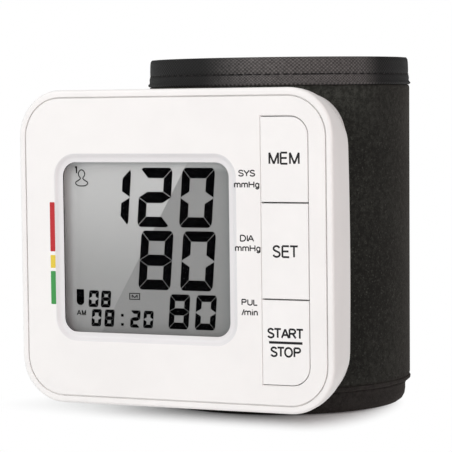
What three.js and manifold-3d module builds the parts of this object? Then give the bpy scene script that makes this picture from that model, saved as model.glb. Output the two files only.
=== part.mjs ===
// A wrist blood pressure monitor with its cuff, in millimetres.
// X runs to the wearer's right of the face, Y from the face into the depth, Z up.
// The monitor's case is modelled about the middle of its face, the cuff about the axis of its loop.
import * as THREE from "three";
import { mergeVertices } from "three/addons/utils/BufferGeometryUtils.js";
import Module from "manifold-3d";

// Fits and making
const gap = 0.3; // air left between two separate pieces
const keyGap = 0.22; // the slit round each key
const overrun = 1; // how far a cutting solid runs past what it cuts
const weld = 0.0001; // points closer than this are one point

// How finely round shapes are divided
const cornerSteps = 5;
const bowSteps = 4;
const edgeSteps = 3;
const roundSides = 20;
const smallSides = 10;
const loopSides = 72; // facets in a full turn of the cuff

// The case as a whole
const caseWidth = 68.5;
const caseHeight = 63;
const caseCorner = 9.3;
const caseLift = 4.25; // the case hangs on the cuff, this far above the floor
const wall = 1.6;
const sideBow = 0.45; // how far the two side walls swell by the parting line
const edgeRound = 0.6; // round of the front rim
const frontDepth = 8.4; // depth of the straight side walls
const frontWallThick = 1.2;

// The tapered back
const rearDepth = 25.5; // from the face to the flat of the back
const rearTaper = 7.95; // how far each side draws in towards the back
const rearDrop = 1.2; // and the top and the bottom
const rearCorner = 8;
const rearRound = 3.5;
const lipLength = 1.5; // the lip that locates the back in the front
const lipWall = 1;

// The face panel
const rimSide = 1.42; // the front case shows this much beside the panel
const rimTop = 1.5; // and above and below it
const panelCorner = 8;
const panelThick = 1.4;

// The display window and its stack
const windowLeft = 8.295; // from the panel's left edge to the window
const windowToKeys = 7.015;
const windowHeight = 34.15;
const windowCorner = 2.9;
const wellWidth = 1.75; // the sloping surround of the window
const wellDepth = 0.5;
const lipThick = 0.45; // the panel's edge at the window
const lensMargin = 1.2;
const lensThick = 1;
const glassMargin = 2.2;
const glassThick = 1.1;
const glassCorner = 1.2;
const holderRim = 1.3; // the holder's frame outside the display glass
const holderShelf = 1; // how far the holder reaches inside the window's outline
const stripThick = 1.8; // the rubber connector strip
const stripMargin = 1.385; // the strip is this much shorter than the window at each end
const stripInset = 1.1; // from the window's lower edge down to the middle of the strip

// The keys
const keyRight = 3.66; // from the keys to the panel's right edge
const keyWidth = 9.92;
const keyMargin = 3.96; // from the keys to the panel's top and bottom edges
const setKeyHeight = 18.67;
const keyCorner = 3.8;
const keyBevel = 0.12;
const keyFlange = 1; // how far the hidden flange reaches past the key
const keyFlangeThick = 1;
const keyStemRadius = 2;
const keyTravel = 0.4;

// The board and what is soldered to it
const boardSide = 2.83; // the board is this much smaller than the panel at each side
const boardTop = 6; // and above and below
const boardCorner = 3;
const boardThick = 1;
const boardDepth = 6.9; // from the face to the front of the board
const switchWidth = 6;
const switchThick = 2.2;
const plungerRadius = 1.6;
const plungerLength = 1.6;
const chipWidth = 8;
const chipThick = 1.2;
const chipZ = 19;
const buzzerRadius = 4.5;
const buzzerThick = 2.5;
const buzzerZ = -13;

// Case screws and the bosses they join
const screwRadius = 1;
const screwHeadRadius = 1.9;
const screwHeadThick = 1.3;
const screwLength = 7;
const screwSlot = 0.5;
const bossWall = 1.1;
const bossMeet = 8.6; // depth at which front and rear bosses meet
const bossFloor = 1.5; // material under a screw's head
const bossLeft = 11.25; // from the case's left side to the bosses
const bossRight = 18.55;
const bossTop = 4.4; // from the case's top and bottom to the bosses

// Batteries, their tray and its cover
const batteryRadius = 5.25;
const batteryLength = 44.5;
const batteryNub = 0.8;
const batteryNubRadius = 1.9;
const batterySide = 11.65; // from the case's left side to the outer battery's axis
const batteryDepth = 15.5;
const trayFloorThick = 1;
const trayFloorDepth = 8.9;
const trayWall = 1;
const contactThick = 0.8;
const contactWidth = 7;
const contactBump = 2;
const contactLegWidth = 2;
const restWidth = 3; // posts that the board leans on
const restShift = 3.4; // the posts stand this far outside the outer battery's axis
const restZ = 21;
const coverEdge = 0.9; // from the hollow's edge to the cover's edge
const tabWidth = 5; // tongues of the cover that reach under the fixed back
const tabZ = 14;
const tabReach = 1.6;
const tabThick = 0.7;
const tabRoot = 1.4;
const gripRadius = 0.45;
const gripLength = 16;
const gripPitch = 2.2;
const gripCount = 4;

// Air pump, valve and tubes
const pumpSide = 16.75; // from the case's right side to the pump's axis
const pumpDepth = 14.3; // from the face to the pump's axis
const motorRadius = 6;
const motorLength = 14;
const motorRise = 8.5; // from the case's lower side to the motor
const shaftRadius = 0.75;
const shaftLength = 8;
const camRadius = 2.2;
const camOffset = 0.7;
const camThick = 2;
const headWidth = 10.4;
const headHeight = 13;
const headBoreRadius = 3.4;
const headBoreDepth = 6;
const valveWidth = 8.6;
const valveHeight = 11;
const valveRise = 3.7; // from the pump head to the valve
const valveRodRadius = 1.5;
const valveRodLength = 7;
const valveRodStand = 1.2;
const valveTravel = 0.8;
const ribThick = 1.6; // ribs of the back that cradle pump and valve
const cradleWrap = 2.5; // how far a cradle rib comes round the motor
const manifoldRadius = 2.2;
const manifoldBore = 1.1;
const manifoldShift = 1.8; // from the loop's axis to the manifold's
const manifoldRise = 6.2; // from the pump head's foot to the manifold's
const manifoldHeight = 17;
const nippleRadius = 1.4;
const nippleBore = 0.7;
const hoseWall = 0.7;
const nippleGrip = 1.6; // how far a hose covers a nipple
const sensorWidth = 7;
const sensorThick = 1.6;
const outletStand = 1.6; // how far the outlet nipple reaches into the cuff
const portWall = 0.9;

// The cuff
const cuffHeight = 73.4;
const loopDepth = 48; // from the face to the axis of the loop
const loopX = 2.4; // the loop's axis lies a little to one side of the face's middle
const loopRadius = 27.9;
const shellThick = 1.5;
const formerThick = 1.7;
const bladderThick = 0.8;
const liningThick = 2.4;
const topBinding = 5.7;
const topTuck = 0.4; // the top hem lies this far inside the fabric
const bottomBinding = 5.5;
const bottomTuck = 1.4;
const formerMargin = 2.5; // from the hems to the former's edges
const bladderMargin = 8.7; // from the cuff's rims to the bladder
const hingeDegrees = -35; // where the arm of the cuff bends away
const armDegrees = 70; // where the arm ends, round the back
const bladderFromDegrees = 90;
const bladderToDegrees = 322;
const flapThick = 1.5;
const flapMargin = 10.7; // from the cuff's rims to the flap
const flapDegrees = 140;
const flapRootDegrees = 54;
const hookThick = 0.6;
const hookMargin = 4; // from the flap's edges to the hooks
const hookFromDegrees = 82;
const hookToDegrees = 136;
const cuffScrewRadius = 0.9;
const cuffScrewHeadRadius = 1.8;
const cuffScrewHeadThick = 0.5;
const cuffScrewLength = 6;
const cuffScrewInset = 8.8; // from the ends of the height that case and cuff share
const cuffBossLength = 1.8;

// Sizes and places on the face, worked out from the sizes above
const panelWidth = caseWidth - rimSide * 2;
const panelHeight = caseHeight - rimTop * 2;
const keyX = panelWidth / 2 - keyRight - keyWidth / 2;
const keyColumnHeight = panelHeight - keyMargin * 2;
const windowWidth = panelWidth - windowLeft - windowToKeys - keyWidth - keyRight;
const windowX = windowLeft + (windowWidth - panelWidth) / 2;
const stripLength = windowWidth - stripMargin * 2;
const boardWidth = panelWidth - boardSide * 2;
const boardHeight = panelHeight - boardTop * 2;

// The same for the back and what it holds
const rearWidth = caseWidth - rearTaper * 2;
const rearHeight = caseHeight - rearDrop * 2;
const bossLeftX = bossLeft - caseWidth / 2;
const bossRightX = caseWidth / 2 - bossRight;
const bossZ = caseHeight / 2 - bossTop;
const batteryX = batterySide - caseWidth / 2;
const restX = batteryX - restShift;
const pumpX = caseWidth / 2 - pumpSide;
const motorFoot = motorRise - caseHeight / 2;
const cuffScrewHeights = [
  Math.max(caseLift, bottomBinding) + cuffScrewInset,
  Math.min(caseLift + caseHeight, cuffHeight - topBinding) - cuffScrewInset,
];
const bladderHeight = cuffHeight - bladderMargin * 2;
const flapHeight = cuffHeight - flapMargin * 2;
const hookHeight = flapHeight - hookMargin * 2;

// Depths of the display stack
const lensFront = wellDepth + lipThick + gap;
const lensBack = lensFront + lensThick;
const glassFront = lensBack + gap;
const glassBack = glassFront + glassThick;
const panelSeat = panelThick + gap;
const frontWallBack = panelSeat + frontWallThick;
const boardBack = boardDepth + boardThick;
const rearFront = frontDepth + gap;
const trayFloorBack = trayFloorDepth + trayFloorThick;
const trayHalf = batteryLength / 2 + gap * 3 + contactThick + gap;
const batteryPitch = batteryRadius * 2 + gap;
const trayRight = batteryX + batteryPitch + batteryRadius + gap;
const manifoldX = loopX - manifoldShift;
const headFoot = motorFoot + motorLength + gap;
const headTop = headFoot + headHeight;
const valveFoot = headTop + valveRise;
const manifoldFoot = headFoot + manifoldRise;
const bossHole = screwRadius + gap;
const bossRadius = screwHeadRadius + gap + bossWall;
const frontBossRadius = bossHole + bossWall;
const faceHeight = caseLift + caseHeight / 2; // middle of the face above the floor
const flapInner = loopRadius + gap + hookThick + gap;
const overallDepth = loopDepth + flapInner + flapThick;

// Materials
function finish(color, roughness, metalness = 0) {
  return new THREE.MeshStandardMaterial({ color, roughness, metalness });
}
const whitePlastic = finish(0xf3f2f0, 0.45);
const clearPlastic = finish(0xdfe4e6, 0.08);
const displayGrey = finish(0xa9aaa8, 0.25);
const greyPlastic = finish(0x8c8f92, 0.5);
const blackPlastic = finish(0x1c1c1e, 0.4);
const boardGreen = finish(0x1f5a3a, 0.5);
const steel = finish(0xb9bcc0, 0.3, 1);
const brass = finish(0xc9a45c, 0.35, 1);
const silicone = finish(0xd9d8d2, 0.6);
const rubber = finish(0x2a2a2c, 0.8);
const batteryFoil = finish(0x3a3f46, 0.35, 0.6);
const pileFabric = finish(0x2b2b2b, 0.95);
const hemFabric = finish(0x3c3c3e, 0.9);
const liningFabric = finish(0x343436, 0.95);
const hookPlastic = finish(0x1e1e20, 0.8);

const part = new THREE.Group();
const monitor = new THREE.Group();
const cuff = new THREE.Group();
part.position.y = -overallDepth / 2;
monitor.position.z = faceHeight;
cuff.position.set(loopX, loopDepth, 0);
part.add(monitor, cuff);

function addPiece(owner, name, geometry, material) {
  geometry.computeVertexNormals();
  const mesh = new THREE.Mesh(geometry, material);
  mesh.name = name;
  owner.add(mesh);
  return mesh;
}

// Solids: join, cut and keep the common part
const wasm = await Module();
wasm.setup();

function solidOf(geometry) {
  const bare = geometry.clone();
  bare.deleteAttribute("normal");
  bare.deleteAttribute("uv");
  const merged = mergeVertices(bare, weld);
  return new wasm.Manifold(
    new wasm.Mesh({
      numProp: 3,
      vertProperties: merged.attributes.position.array,
      triVerts: new Uint32Array(merged.index.array),
    }),
  );
}

function geometryOf(solid) {
  const mesh = solid.getMesh();
  const geometry = new THREE.BufferGeometry();
  geometry.setAttribute("position", new THREE.BufferAttribute(mesh.vertProperties, mesh.numProp));
  geometry.setIndex(new THREE.BufferAttribute(mesh.triVerts, 1));
  return geometry;
}

function join(first, ...others) {
  return geometryOf(others.reduce((sum, next) => sum.add(solidOf(next)), solidOf(first)));
}

function cut(first, ...tools) {
  return geometryOf(tools.reduce((rest, tool) => rest.subtract(solidOf(tool)), solidOf(first)));
}

function common(first, second) {
  return geometryOf(solidOf(first).intersect(solidOf(second)));
}

// A geometry with its faces turned outwards
function facingOut(geometry) {
  const points = geometry.attributes.position;
  const index = geometry.index;
  const corner = [new THREE.Vector3(), new THREE.Vector3(), new THREE.Vector3()];
  let volume = 0;
  for (let i = 0; i < index.count; i += 3) {
    corner.forEach((point, k) => point.fromBufferAttribute(points, index.getX(i + k)));
    volume += corner[0].dot(corner[1].cross(corner[2]));
  }
  if (volume < 0) {
    for (let i = 0; i < index.count; i += 3) {
      const kept = index.getX(i);
      index.setX(i, index.getX(i + 1));
      index.setX(i + 1, kept);
    }
  }
  return geometry;
}

// Plain shapes, each placed where it belongs
function box([x0, x1], [y0, y1], [z0, z1]) {
  const geometry = new THREE.BoxGeometry(x1 - x0, y1 - y0, z1 - z0);
  return geometry.translate((x0 + x1) / 2, (y0 + y1) / 2, (z0 + z1) / 2);
}

// Turns a shape made about the Y axis so that its axis is X, Y or Z, and moves it to its centre line
function alongAxis(geometry, axis, [u, v]) {
  if (axis === "x") return geometry.rotateZ(-Math.PI / 2).translate(0, u, v);
  if (axis === "z") return geometry.rotateX(Math.PI / 2).translate(u, v, 0);
  return geometry.translate(u, 0, v);
}

// A solid of revolution: [radius, place along the axis] pairs that start and end on the axis or close
function turned(axis, profile, centre, sides = smallSides) {
  const points = profile.map(([radius, along]) => new THREE.Vector2(radius, along));
  return facingOut(alongAxis(new THREE.LatheGeometry(points, sides), axis, centre));
}

function rod(axis, radius, [from, to], centre, sides = smallSides) {
  return turned(axis, [[0, from], [radius, from], [radius, to], [0, to]], centre, sides);
}

function pipe(axis, outer, inner, [from, to], centre, sides = smallSides) {
  const profile = [[inner, from], [outer, from], [outer, to], [inner, to], [inner, from]];
  return turned(axis, profile, centre, sides);
}

// A rectangle with its own radius at each corner: right top, left top, left bottom, right bottom
function roundedShape([x0, x1], [z0, z1], radii) {
  const shape = new THREE.Shape();
  const corners = [[x1, z1, -1, -1], [x0, z1, 1, -1], [x0, z0, 1, 1], [x1, z0, -1, 1]];
  corners.forEach(([x, z, inX, inZ], k) => {
    const radius = radii[k];
    if (radius > 0) {
      const start = (k * Math.PI) / 2;
      shape.absarc(x + inX * radius, z + inZ * radius, radius, start, start + Math.PI / 2, false);
    } else if (k === 0) {
      shape.moveTo(x, z);
    } else {
      shape.lineTo(x, z);
    }
  });
  shape.closePath();
  return shape;
}

// A flat plate of that shape, from one depth to another
function plate(shape, [front, back], bevel = 0) {
  const geometry = new THREE.ExtrudeGeometry(shape, {
    depth: back - front - bevel * 2,
    curveSegments: cornerSteps,
    bevelEnabled: bevel > 0,
    bevelSize: bevel,
    bevelThickness: bevel,
    bevelOffset: -bevel,
    bevelSegments: 1,
  });
  return geometry.rotateX(Math.PI / 2).translate(0, back - bevel, 0);
}

function roundedPlate(centreX, width, height, corner, depths) {
  const spanX = [centreX - width / 2, centreX + width / 2];
  return plate(roundedShape(spanX, [-height / 2, height / 2], [corner, corner, corner, corner]), depths);
}

// A ring of points round a rounded rectangle at one depth; its two side runs can bow outwards
function ring(width, height, corner, depth, bow = 0, centreX = 0) {
  const points = [];
  const halfX = width / 2;
  const halfZ = height / 2;
  const quarters = [[1, 1], [-1, 1], [-1, -1], [1, -1]];
  quarters.forEach(([sideX, sideZ], k) => {
    for (let i = 0; i <= cornerSteps; i += 1) {
      const turn = ((k + i / cornerSteps) * Math.PI) / 2;
      const x = sideX * (halfX - corner) + corner * Math.cos(turn);
      const z = sideZ * (halfZ - corner) + corner * Math.sin(turn);
      points.push([x, z]);
    }
    const next = quarters[(k + 1) % quarters.length];
    for (let i = 1; i < bowSteps; i += 1) {
      const share = i / bowSteps;
      const endX = next[0] * (halfX - (k % 2 === 0 ? corner : 0));
      const endZ = next[1] * (halfZ - (k % 2 === 0 ? 0 : corner));
      const [x, z] = points[points.length - i];
      points.push([x + (endX - x) * share, z + (endZ - z) * share]);
    }
  });
  return points.map(([x, z]) => {
    const swell = bow * (1 - (z / halfZ) ** 2) * (x / halfX);
    return new THREE.Vector3(centreX + x + swell, depth, z);
  });
}

// A closed skin over a row of rings with equal numbers of points, with flat ends
function skin(rings, outline) {
  const count = rings[0].length;
  const positions = rings.flat().flatMap((point) => point.toArray());
  const triangles = [];
  for (let r = 0; r + 1 < rings.length; r += 1) {
    for (let i = 0; i < count; i += 1) {
      const a = r * count + i;
      const b = r * count + ((i + 1) % count);
      triangles.push(a, b, a + count, b, b + count, a + count);
    }
  }
  const last = (rings.length - 1) * count;
  THREE.ShapeUtils.triangulateShape(outline, []).forEach(([a, b, c]) => {
    triangles.push(c, b, a, last + a, last + b, last + c);
  });
  const geometry = new THREE.BufferGeometry();
  geometry.setAttribute("position", new THREE.Float32BufferAttribute(positions, 3));
  geometry.setIndex(triangles);
  return facingOut(geometry);
}

function loft(rings) {
  return skin(rings, rings[0].map((point) => new THREE.Vector2(point.x, point.z)));
}

// A stretch of the cuff: [radius, height] pairs swept round the loop's axis
function band(profile, fromDegrees, toDegrees) {
  const steps = Math.max(1, Math.round((Math.abs(toDegrees - fromDegrees) / 360) * loopSides));
  const outline = profile.map(([radius, height]) => new THREE.Vector2(radius, height));
  if (THREE.ShapeUtils.isClockWise(outline)) outline.reverse();
  const rings = [];
  for (let i = 0; i <= steps; i += 1) {
    const turn = THREE.MathUtils.degToRad(fromDegrees + ((toDegrees - fromDegrees) * i) / steps);
    rings.push(
      outline.map(({ x, y }) => new THREE.Vector3(x * Math.cos(turn), x * Math.sin(turn), y)),
    );
  }
  return skin(rings, outline);
}

// The keys' column with its top, bottom and corners, drawn larger or smaller by a given amount
const keyColumn = [keyColumnHeight / 2, -keyColumnHeight / 2, keyCorner, keyCorner];

function keyOutline(grow, top, bottom, topCorner, bottomCorner) {
  const spanX = [keyX - keyWidth / 2 - grow, keyX + keyWidth / 2 + grow];
  return roundedShape(spanX, [bottom - grow, top + grow], [
    topCorner > 0 ? topCorner + grow : 0,
    0,
    0,
    bottomCorner > 0 ? bottomCorner + grow : 0,
  ]);
}

// The front case: a rim, a wall behind the face panel, side walls and four screw bosses
const bossPlaces = [
  [bossLeftX, bossZ],
  [bossRightX, bossZ],
  [bossLeftX, -bossZ],
  [bossRightX, -bossZ],
];

function frontRing(inset, depth) {
  const bow = sideBow * Math.max(0, depth / frontDepth);
  return ring(caseWidth - inset * 2, caseHeight - inset * 2, caseCorner - inset, depth, bow);
}

function frontCase() {
  const rings = [];
  for (let i = 0; i <= edgeSteps; i += 1) {
    const turn = ((i / edgeSteps) * Math.PI) / 2;
    rings.push(frontRing(edgeRound * (1 - Math.sin(turn)), edgeRound * (1 - Math.cos(turn))));
  }
  rings.push(frontRing(0, frontDepth));
  const pocket = roundedPlate(0, panelWidth + gap, panelHeight + gap, panelCorner + gap / 2, [
    -overrun,
    panelSeat,
  ]);
  const cavity = loft([frontRing(wall, frontWallBack), frontRing(wall, frontDepth + overrun)]);
  const through = [panelSeat - overrun, frontWallBack + overrun];
  const glassRoom = (glassMargin + gap) * 2;
  const displayHole = roundedPlate(
    windowX,
    windowWidth + glassRoom,
    windowHeight + glassRoom,
    glassCorner + gap,
    through,
  );
  const keyHole = plate(keyOutline(keyFlange + gap, ...keyColumn), through);
  const shell = cut(loft(rings), pocket, cavity, displayHole, keyHole);
  const bossStart = frontWallBack - frontWallThick / 2;
  const bossEnd = bossMeet - gap / 2;
  const bosses = bossPlaces.map((place) =>
    pipe("y", frontBossRadius, bossHole, [bossStart, bossEnd], place, roundSides),
  );
  return join(shell, ...bosses);
}

addPiece(monitor, "front_case", frontCase(), whitePlastic);

// The face panel: one plate with the window in its sunk surround and one opening for all the keys
function facePanel() {
  const edge = keyGap / 2;
  const body = roundedPlate(0, panelWidth - gap, panelHeight - gap, panelCorner - gap / 2, [0, panelThick]);
  const wellRing = (spread, depth) =>
    ring(
      windowWidth + spread * 2,
      windowHeight + spread * 2,
      windowCorner + spread,
      depth,
      0,
      windowX,
    );
  const slope = wellWidth / wellDepth;
  const well = loft([wellRing(wellWidth + slope * overrun, -overrun), wellRing(0, wellDepth)]);
  const window = loft([wellRing(0, 0), wellRing(0, panelThick + overrun)]);
  const lensRoom = displayPlate(lensMargin + gap, windowCorner + gap, [
    wellDepth + lipThick,
    panelThick + overrun,
  ]);
  const keys = plate(keyOutline(edge, ...keyColumn), [-overrun, panelThick + overrun]);
  return cut(body, well, window, lensRoom, keys);
}

addPiece(monitor, "face_panel", facePanel(), whitePlastic);

// The display: lens, glass, holder and the rubber strip that joins glass to board
function displayPlate(margin, corner, depths) {
  return roundedPlate(windowX, windowWidth + margin * 2, windowHeight + margin * 2, corner, depths);
}

const holderFront = frontWallBack + gap;
const holderBack = boardDepth - gap;
const stripZ = -windowHeight / 2 - stripInset;

function holder() {
  const outside = displayPlate(glassMargin + holderRim, windowCorner, [holderFront, holderBack]);
  const seat = displayPlate(glassMargin + gap, glassCorner + gap, [holderFront - overrun, glassBack + gap]);
  const light = displayPlate(-holderShelf, windowCorner, [holderFront, holderBack + overrun]);
  const stripRoom = stripThick / 2 + gap;
  const slot = box(
    [windowX - stripLength / 2 - gap, windowX + stripLength / 2 + gap],
    [glassBack, holderBack + overrun],
    [stripZ - stripRoom, stripZ + stripRoom],
  );
  return cut(outside, seat, light, slot);
}

const lens = displayPlate(lensMargin, windowCorner, [lensFront, lensBack]);
const glass = displayPlate(glassMargin, glassCorner, [glassFront, glassBack]);
addPiece(monitor, "display_lens", lens, clearPlastic);
addPiece(monitor, "lcd_glass", glass, displayGrey);
addPiece(monitor, "lcd_holder", holder(), blackPlastic);
addPiece(
  monitor,
  "lcd_connector_strip",
  box(
    [windowX - stripLength / 2, windowX + stripLength / 2],
    [glassBack + gap, holderBack],
    [stripZ - stripThick / 2, stripZ + stripThick / 2],
  ),
  rubber,
);

// The keys, each with a hidden flange and a stem, over a switch on the board
const keyRows = [
  { name: "mem", top: keyColumnHeight / 2, bottom: setKeyHeight / 2, topCorner: keyCorner, bottomCorner: 0 },
  { name: "set", top: setKeyHeight / 2, bottom: -setKeyHeight / 2, topCorner: 0, bottomCorner: 0 },
  {
    name: "start_stop",
    top: -setKeyHeight / 2,
    bottom: -keyColumnHeight / 2,
    topCorner: 0,
    bottomCorner: keyCorner,
  },
];
const switchFront = boardDepth - gap - switchThick;
const plungerFront = switchFront - (plungerLength - keyTravel - gap * 2);
const plungerBore = plungerFront + plungerLength + keyTravel + gap;

for (const row of keyRows) {
  const edge = keyGap / 2;
  const middle = (row.top + row.bottom) / 2;
  const cap = plate(
    keyOutline(-edge, row.top, row.bottom, row.topCorner, row.bottomCorner),
    [0, panelSeat + keyFlangeThick / 2],
    keyBevel,
  );
  const flangeTop = row.top + (row.topCorner > 0 ? keyFlange : -edge);
  const flangeBottom = row.bottom - (row.bottomCorner > 0 ? keyFlange : -edge);
  const flangeX = [keyX - keyWidth / 2 - keyFlange, keyX + keyWidth / 2 + keyFlange];
  const flangeBack = panelSeat + keyFlangeThick;
  const flange = plate(
    roundedShape(flangeX, [flangeBottom, flangeTop], [
      row.topCorner > 0 ? row.topCorner + keyFlange : 0,
      0,
      0,
      row.bottomCorner > 0 ? row.bottomCorner + keyFlange : 0,
    ]),
    [panelSeat, flangeBack],
  );
  const stemSpan = [flangeBack - keyFlangeThick / 2, plungerFront - gap];
  const stem = rod("y", keyStemRadius, stemSpan, [keyX, middle], roundSides);
  addPiece(monitor, row.name + "_button", join(cap, flange, stem), whitePlastic);

  const half = switchWidth / 2;
  const body = box([keyX - half, keyX + half], [switchFront, switchFront + switchThick], [
    middle - half,
    middle + half,
  ]);
  const bore = rod("y", plungerRadius + gap, [switchFront - overrun, plungerBore], [keyX, middle]);
  addPiece(monitor, row.name + "_switch", cut(body, bore), blackPlastic);
  const plunger = rod("y", plungerRadius, [plungerFront, plungerFront + plungerLength], [keyX, middle]);
  addPiece(monitor, row.name + "_switch_plunger", plunger, greyPlastic);
}

// The board with its chip, sensor and buzzer on the back
const boardBackSeat = boardBack + gap;
const manifoldZ = manifoldFoot + manifoldHeight / 2;
const sensorBack = boardBackSeat + sensorThick;

addPiece(
  monitor,
  "main_board",
  roundedPlate(0, boardWidth, boardHeight, boardCorner, [boardDepth, boardBack]),
  boardGreen,
);
addPiece(
  monitor,
  "controller_chip",
  box(
    [manifoldX - chipWidth / 2, manifoldX + chipWidth / 2],
    [boardBackSeat, boardBackSeat + chipThick],
    [chipZ - chipWidth / 2, chipZ + chipWidth / 2],
  ),
  blackPlastic,
);
addPiece(
  monitor,
  "buzzer",
  rod("y", buzzerRadius, [boardBackSeat, boardBackSeat + buzzerThick], [manifoldX, buzzerZ], roundSides),
  blackPlastic,
);

// Air parts: short hoses join the manifold to pump, valve and sensor, and its outlet enters the cuff
const hoseOuter = nippleRadius + gap + hoseWall;
const hoseInner = nippleRadius + gap;
const pumpNippleZ = headTop - nippleGrip * 2;
const valveNippleZ = valveFoot + nippleGrip * 2;
const headLeft = pumpX - headWidth / 2;
const valveLeft = pumpX - valveWidth / 2;
const manifoldRight = manifoldX + manifoldRadius;
const manifoldFront = pumpDepth - manifoldRadius;
const manifoldBack = pumpDepth + manifoldRadius;

function manifold() {
  const at = [manifoldX, pumpDepth];
  const top = manifoldFoot + manifoldHeight;
  const body = rod("z", manifoldRadius, [manifoldFoot, top], at, roundSides);
  const bore = rod("z", manifoldBore, [manifoldFoot + wall, top - wall], at, roundSides);
  const branches = [
    ["x", manifoldX, manifoldRight + nippleGrip, [pumpDepth, pumpNippleZ]],
    ["x", manifoldX, manifoldRight + nippleGrip, [pumpDepth, valveNippleZ]],
    ["y", pumpDepth, manifoldFront - nippleGrip / 2, [manifoldX, manifoldZ]],
    ["y", pumpDepth, loopDepth - loopRadius + outletStand, [manifoldX, manifoldZ]],
  ];
  const nipples = branches.map(([axis, middle, tip, centre]) =>
    rod(axis, nippleRadius, [middle, tip], centre),
  );
  const bores = branches.map(([axis, middle, tip, centre]) =>
    rod(axis, nippleBore, [middle, tip + Math.sign(tip - middle) * overrun], centre),
  );
  return cut(join(body, ...nipples), bore, ...bores);
}

addPiece(monitor, "air_manifold", manifold(), greyPlastic);

// Pressure sensor with its nozzle
function sensor() {
  const half = sensorWidth / 2;
  const body = box([manifoldX - half, manifoldX + half], [boardBackSeat, sensorBack], [
    manifoldZ - half,
    manifoldZ + half,
  ]);
  const at = [manifoldX, manifoldZ];
  const nozzle = rod("y", nippleRadius, [sensorBack - gap, sensorBack + nippleGrip / 2], at);
  const bore = rod("y", nippleBore, [sensorBack - sensorThick / 2, sensorBack + nippleGrip + overrun], at);
  return cut(join(body, nozzle), bore);
}

addPiece(monitor, "pressure_sensor", sensor(), greyPlastic);

// The pump: motor, cam on its shaft, and head
const pumpAxis = [pumpX, pumpDepth];
const shaftTop = motorFoot + motorLength + gap * 2 + camThick + gap;
const shaftRoom = shaftRadius + gap;

function motor() {
  const top = motorFoot + motorLength;
  const body = rod("z", motorRadius, [motorFoot, top], pumpAxis, roundSides);
  const bore = rod("z", shaftRoom, [shaftTop - shaftLength - gap, top + overrun], pumpAxis);
  return cut(body, bore);
}

function camShaft() {
  const shaft = rod("z", shaftRadius, [shaftTop - shaftLength, shaftTop], pumpAxis);
  const camFoot = motorFoot + motorLength + gap * 2;
  const offCentre = [pumpX + camOffset, pumpDepth];
  const cam = rod("z", camRadius, [camFoot, camFoot + camThick], offCentre, roundSides);
  return join(shaft, cam);
}

function head() {
  const half = headWidth / 2;
  const body = box([pumpX - half, pumpX + half], [pumpDepth - half, pumpDepth + half], [headFoot, headTop]);
  const bore = rod("z", headBoreRadius, [headFoot - overrun, headFoot + headBoreDepth], pumpAxis, roundSides);
  const tip = manifoldRight + nippleGrip + gap;
  const stub = rod("x", nippleRadius, [tip, headLeft + gap], [pumpDepth, pumpNippleZ]);
  const air = rod("x", nippleBore, [tip - overrun, headLeft + wall], [pumpDepth, pumpNippleZ]);
  return cut(join(body, stub), bore, air);
}

addPiece(monitor, "pump_motor", motor(), steel);
addPiece(monitor, "pump_cam_shaft", camShaft(), steel);
addPiece(monitor, "pump_head", head(), greyPlastic);

// The release valve: a coil body with a rod that moves along it
const valveTop = valveFoot + valveHeight;

function valve() {
  const half = valveWidth / 2;
  const body = box([pumpX - half, pumpX + half], [pumpDepth - half, pumpDepth + half], [valveFoot, valveTop]);
  const low = valveTop + valveRodStand - valveRodLength - valveTravel - gap;
  const bore = rod("z", valveRodRadius + gap, [low, valveTop + overrun], pumpAxis);
  const tip = manifoldRight + nippleGrip + gap;
  const stub = rod("x", nippleRadius, [tip, valveLeft + gap], [pumpDepth, valveNippleZ]);
  const air = rod("x", nippleBore, [tip - overrun, valveLeft + wall], [pumpDepth, valveNippleZ]);
  return cut(join(body, stub), bore, air);
}

const rodTop = valveTop + valveRodStand;
addPiece(monitor, "release_valve", valve(), steel);
addPiece(
  monitor,
  "valve_plunger",
  rod("z", valveRodRadius, [rodTop - valveRodLength, rodTop], pumpAxis),
  brass,
);

// Hoses over the nipples
const hoses = [
  ["pump_hose", "x", [manifoldRight + gap, headLeft - gap], [pumpDepth, pumpNippleZ]],
  ["valve_hose", "x", [manifoldRight + gap, valveLeft - gap], [pumpDepth, valveNippleZ]],
  ["sensor_hose", "y", [sensorBack + gap, manifoldFront - gap], [manifoldX, manifoldZ]],
];

for (const [name, axis, span, centre] of hoses) {
  addPiece(monitor, name, pipe(axis, hoseOuter, hoseInner, span, centre), silicone);
}

// The tapered back, drawn in by a given amount, with the hollow that seats on the cuff
const saddleOuter = loopDepth - loopRadius - gap; // depth of the case where it meets the cuff

function rearBody(inset) {
  const at = (from, to, depth) => from + ((to - from) * (depth - frontDepth)) / (rearDepth - frontDepth);
  const rearRing = (depth, shrink) =>
    ring(
      at(caseWidth, rearWidth, depth) - shrink * 2,
      at(caseHeight, rearHeight, depth) - shrink * 2,
      at(caseCorner, rearCorner, depth) - shrink,
      depth,
      sideBow,
    );
  const rings = [rearRing(inset > 0 ? rearFront - overrun : rearFront, inset)];
  const edge = rearDepth - rearRound;
  const rest = rearRound - inset;
  for (let i = 0; i <= edgeSteps; i += 1) {
    const turn = ((i / edgeSteps) * Math.PI) / 2;
    const depth = edge + rest * Math.sin(turn);
    rings.push(rearRing(depth, rearRound - rest * Math.cos(turn)));
  }
  const seat = rod(
    "z",
    loopRadius + gap + inset,
    [-caseHeight, caseHeight],
    [loopX, loopDepth],
    loopSides,
  );
  return cut(loft(rings), seat);
}

const rearShell = cut(rearBody(0), rearBody(wall));

// Where the hollow meets the flat of the back, and beside it the edge of the battery opening
const hollowHalf = Math.sqrt((loopRadius + gap) ** 2 - (loopDepth - rearDepth) ** 2);
const openingRight = loopX - hollowHalf - coverEdge;

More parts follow.
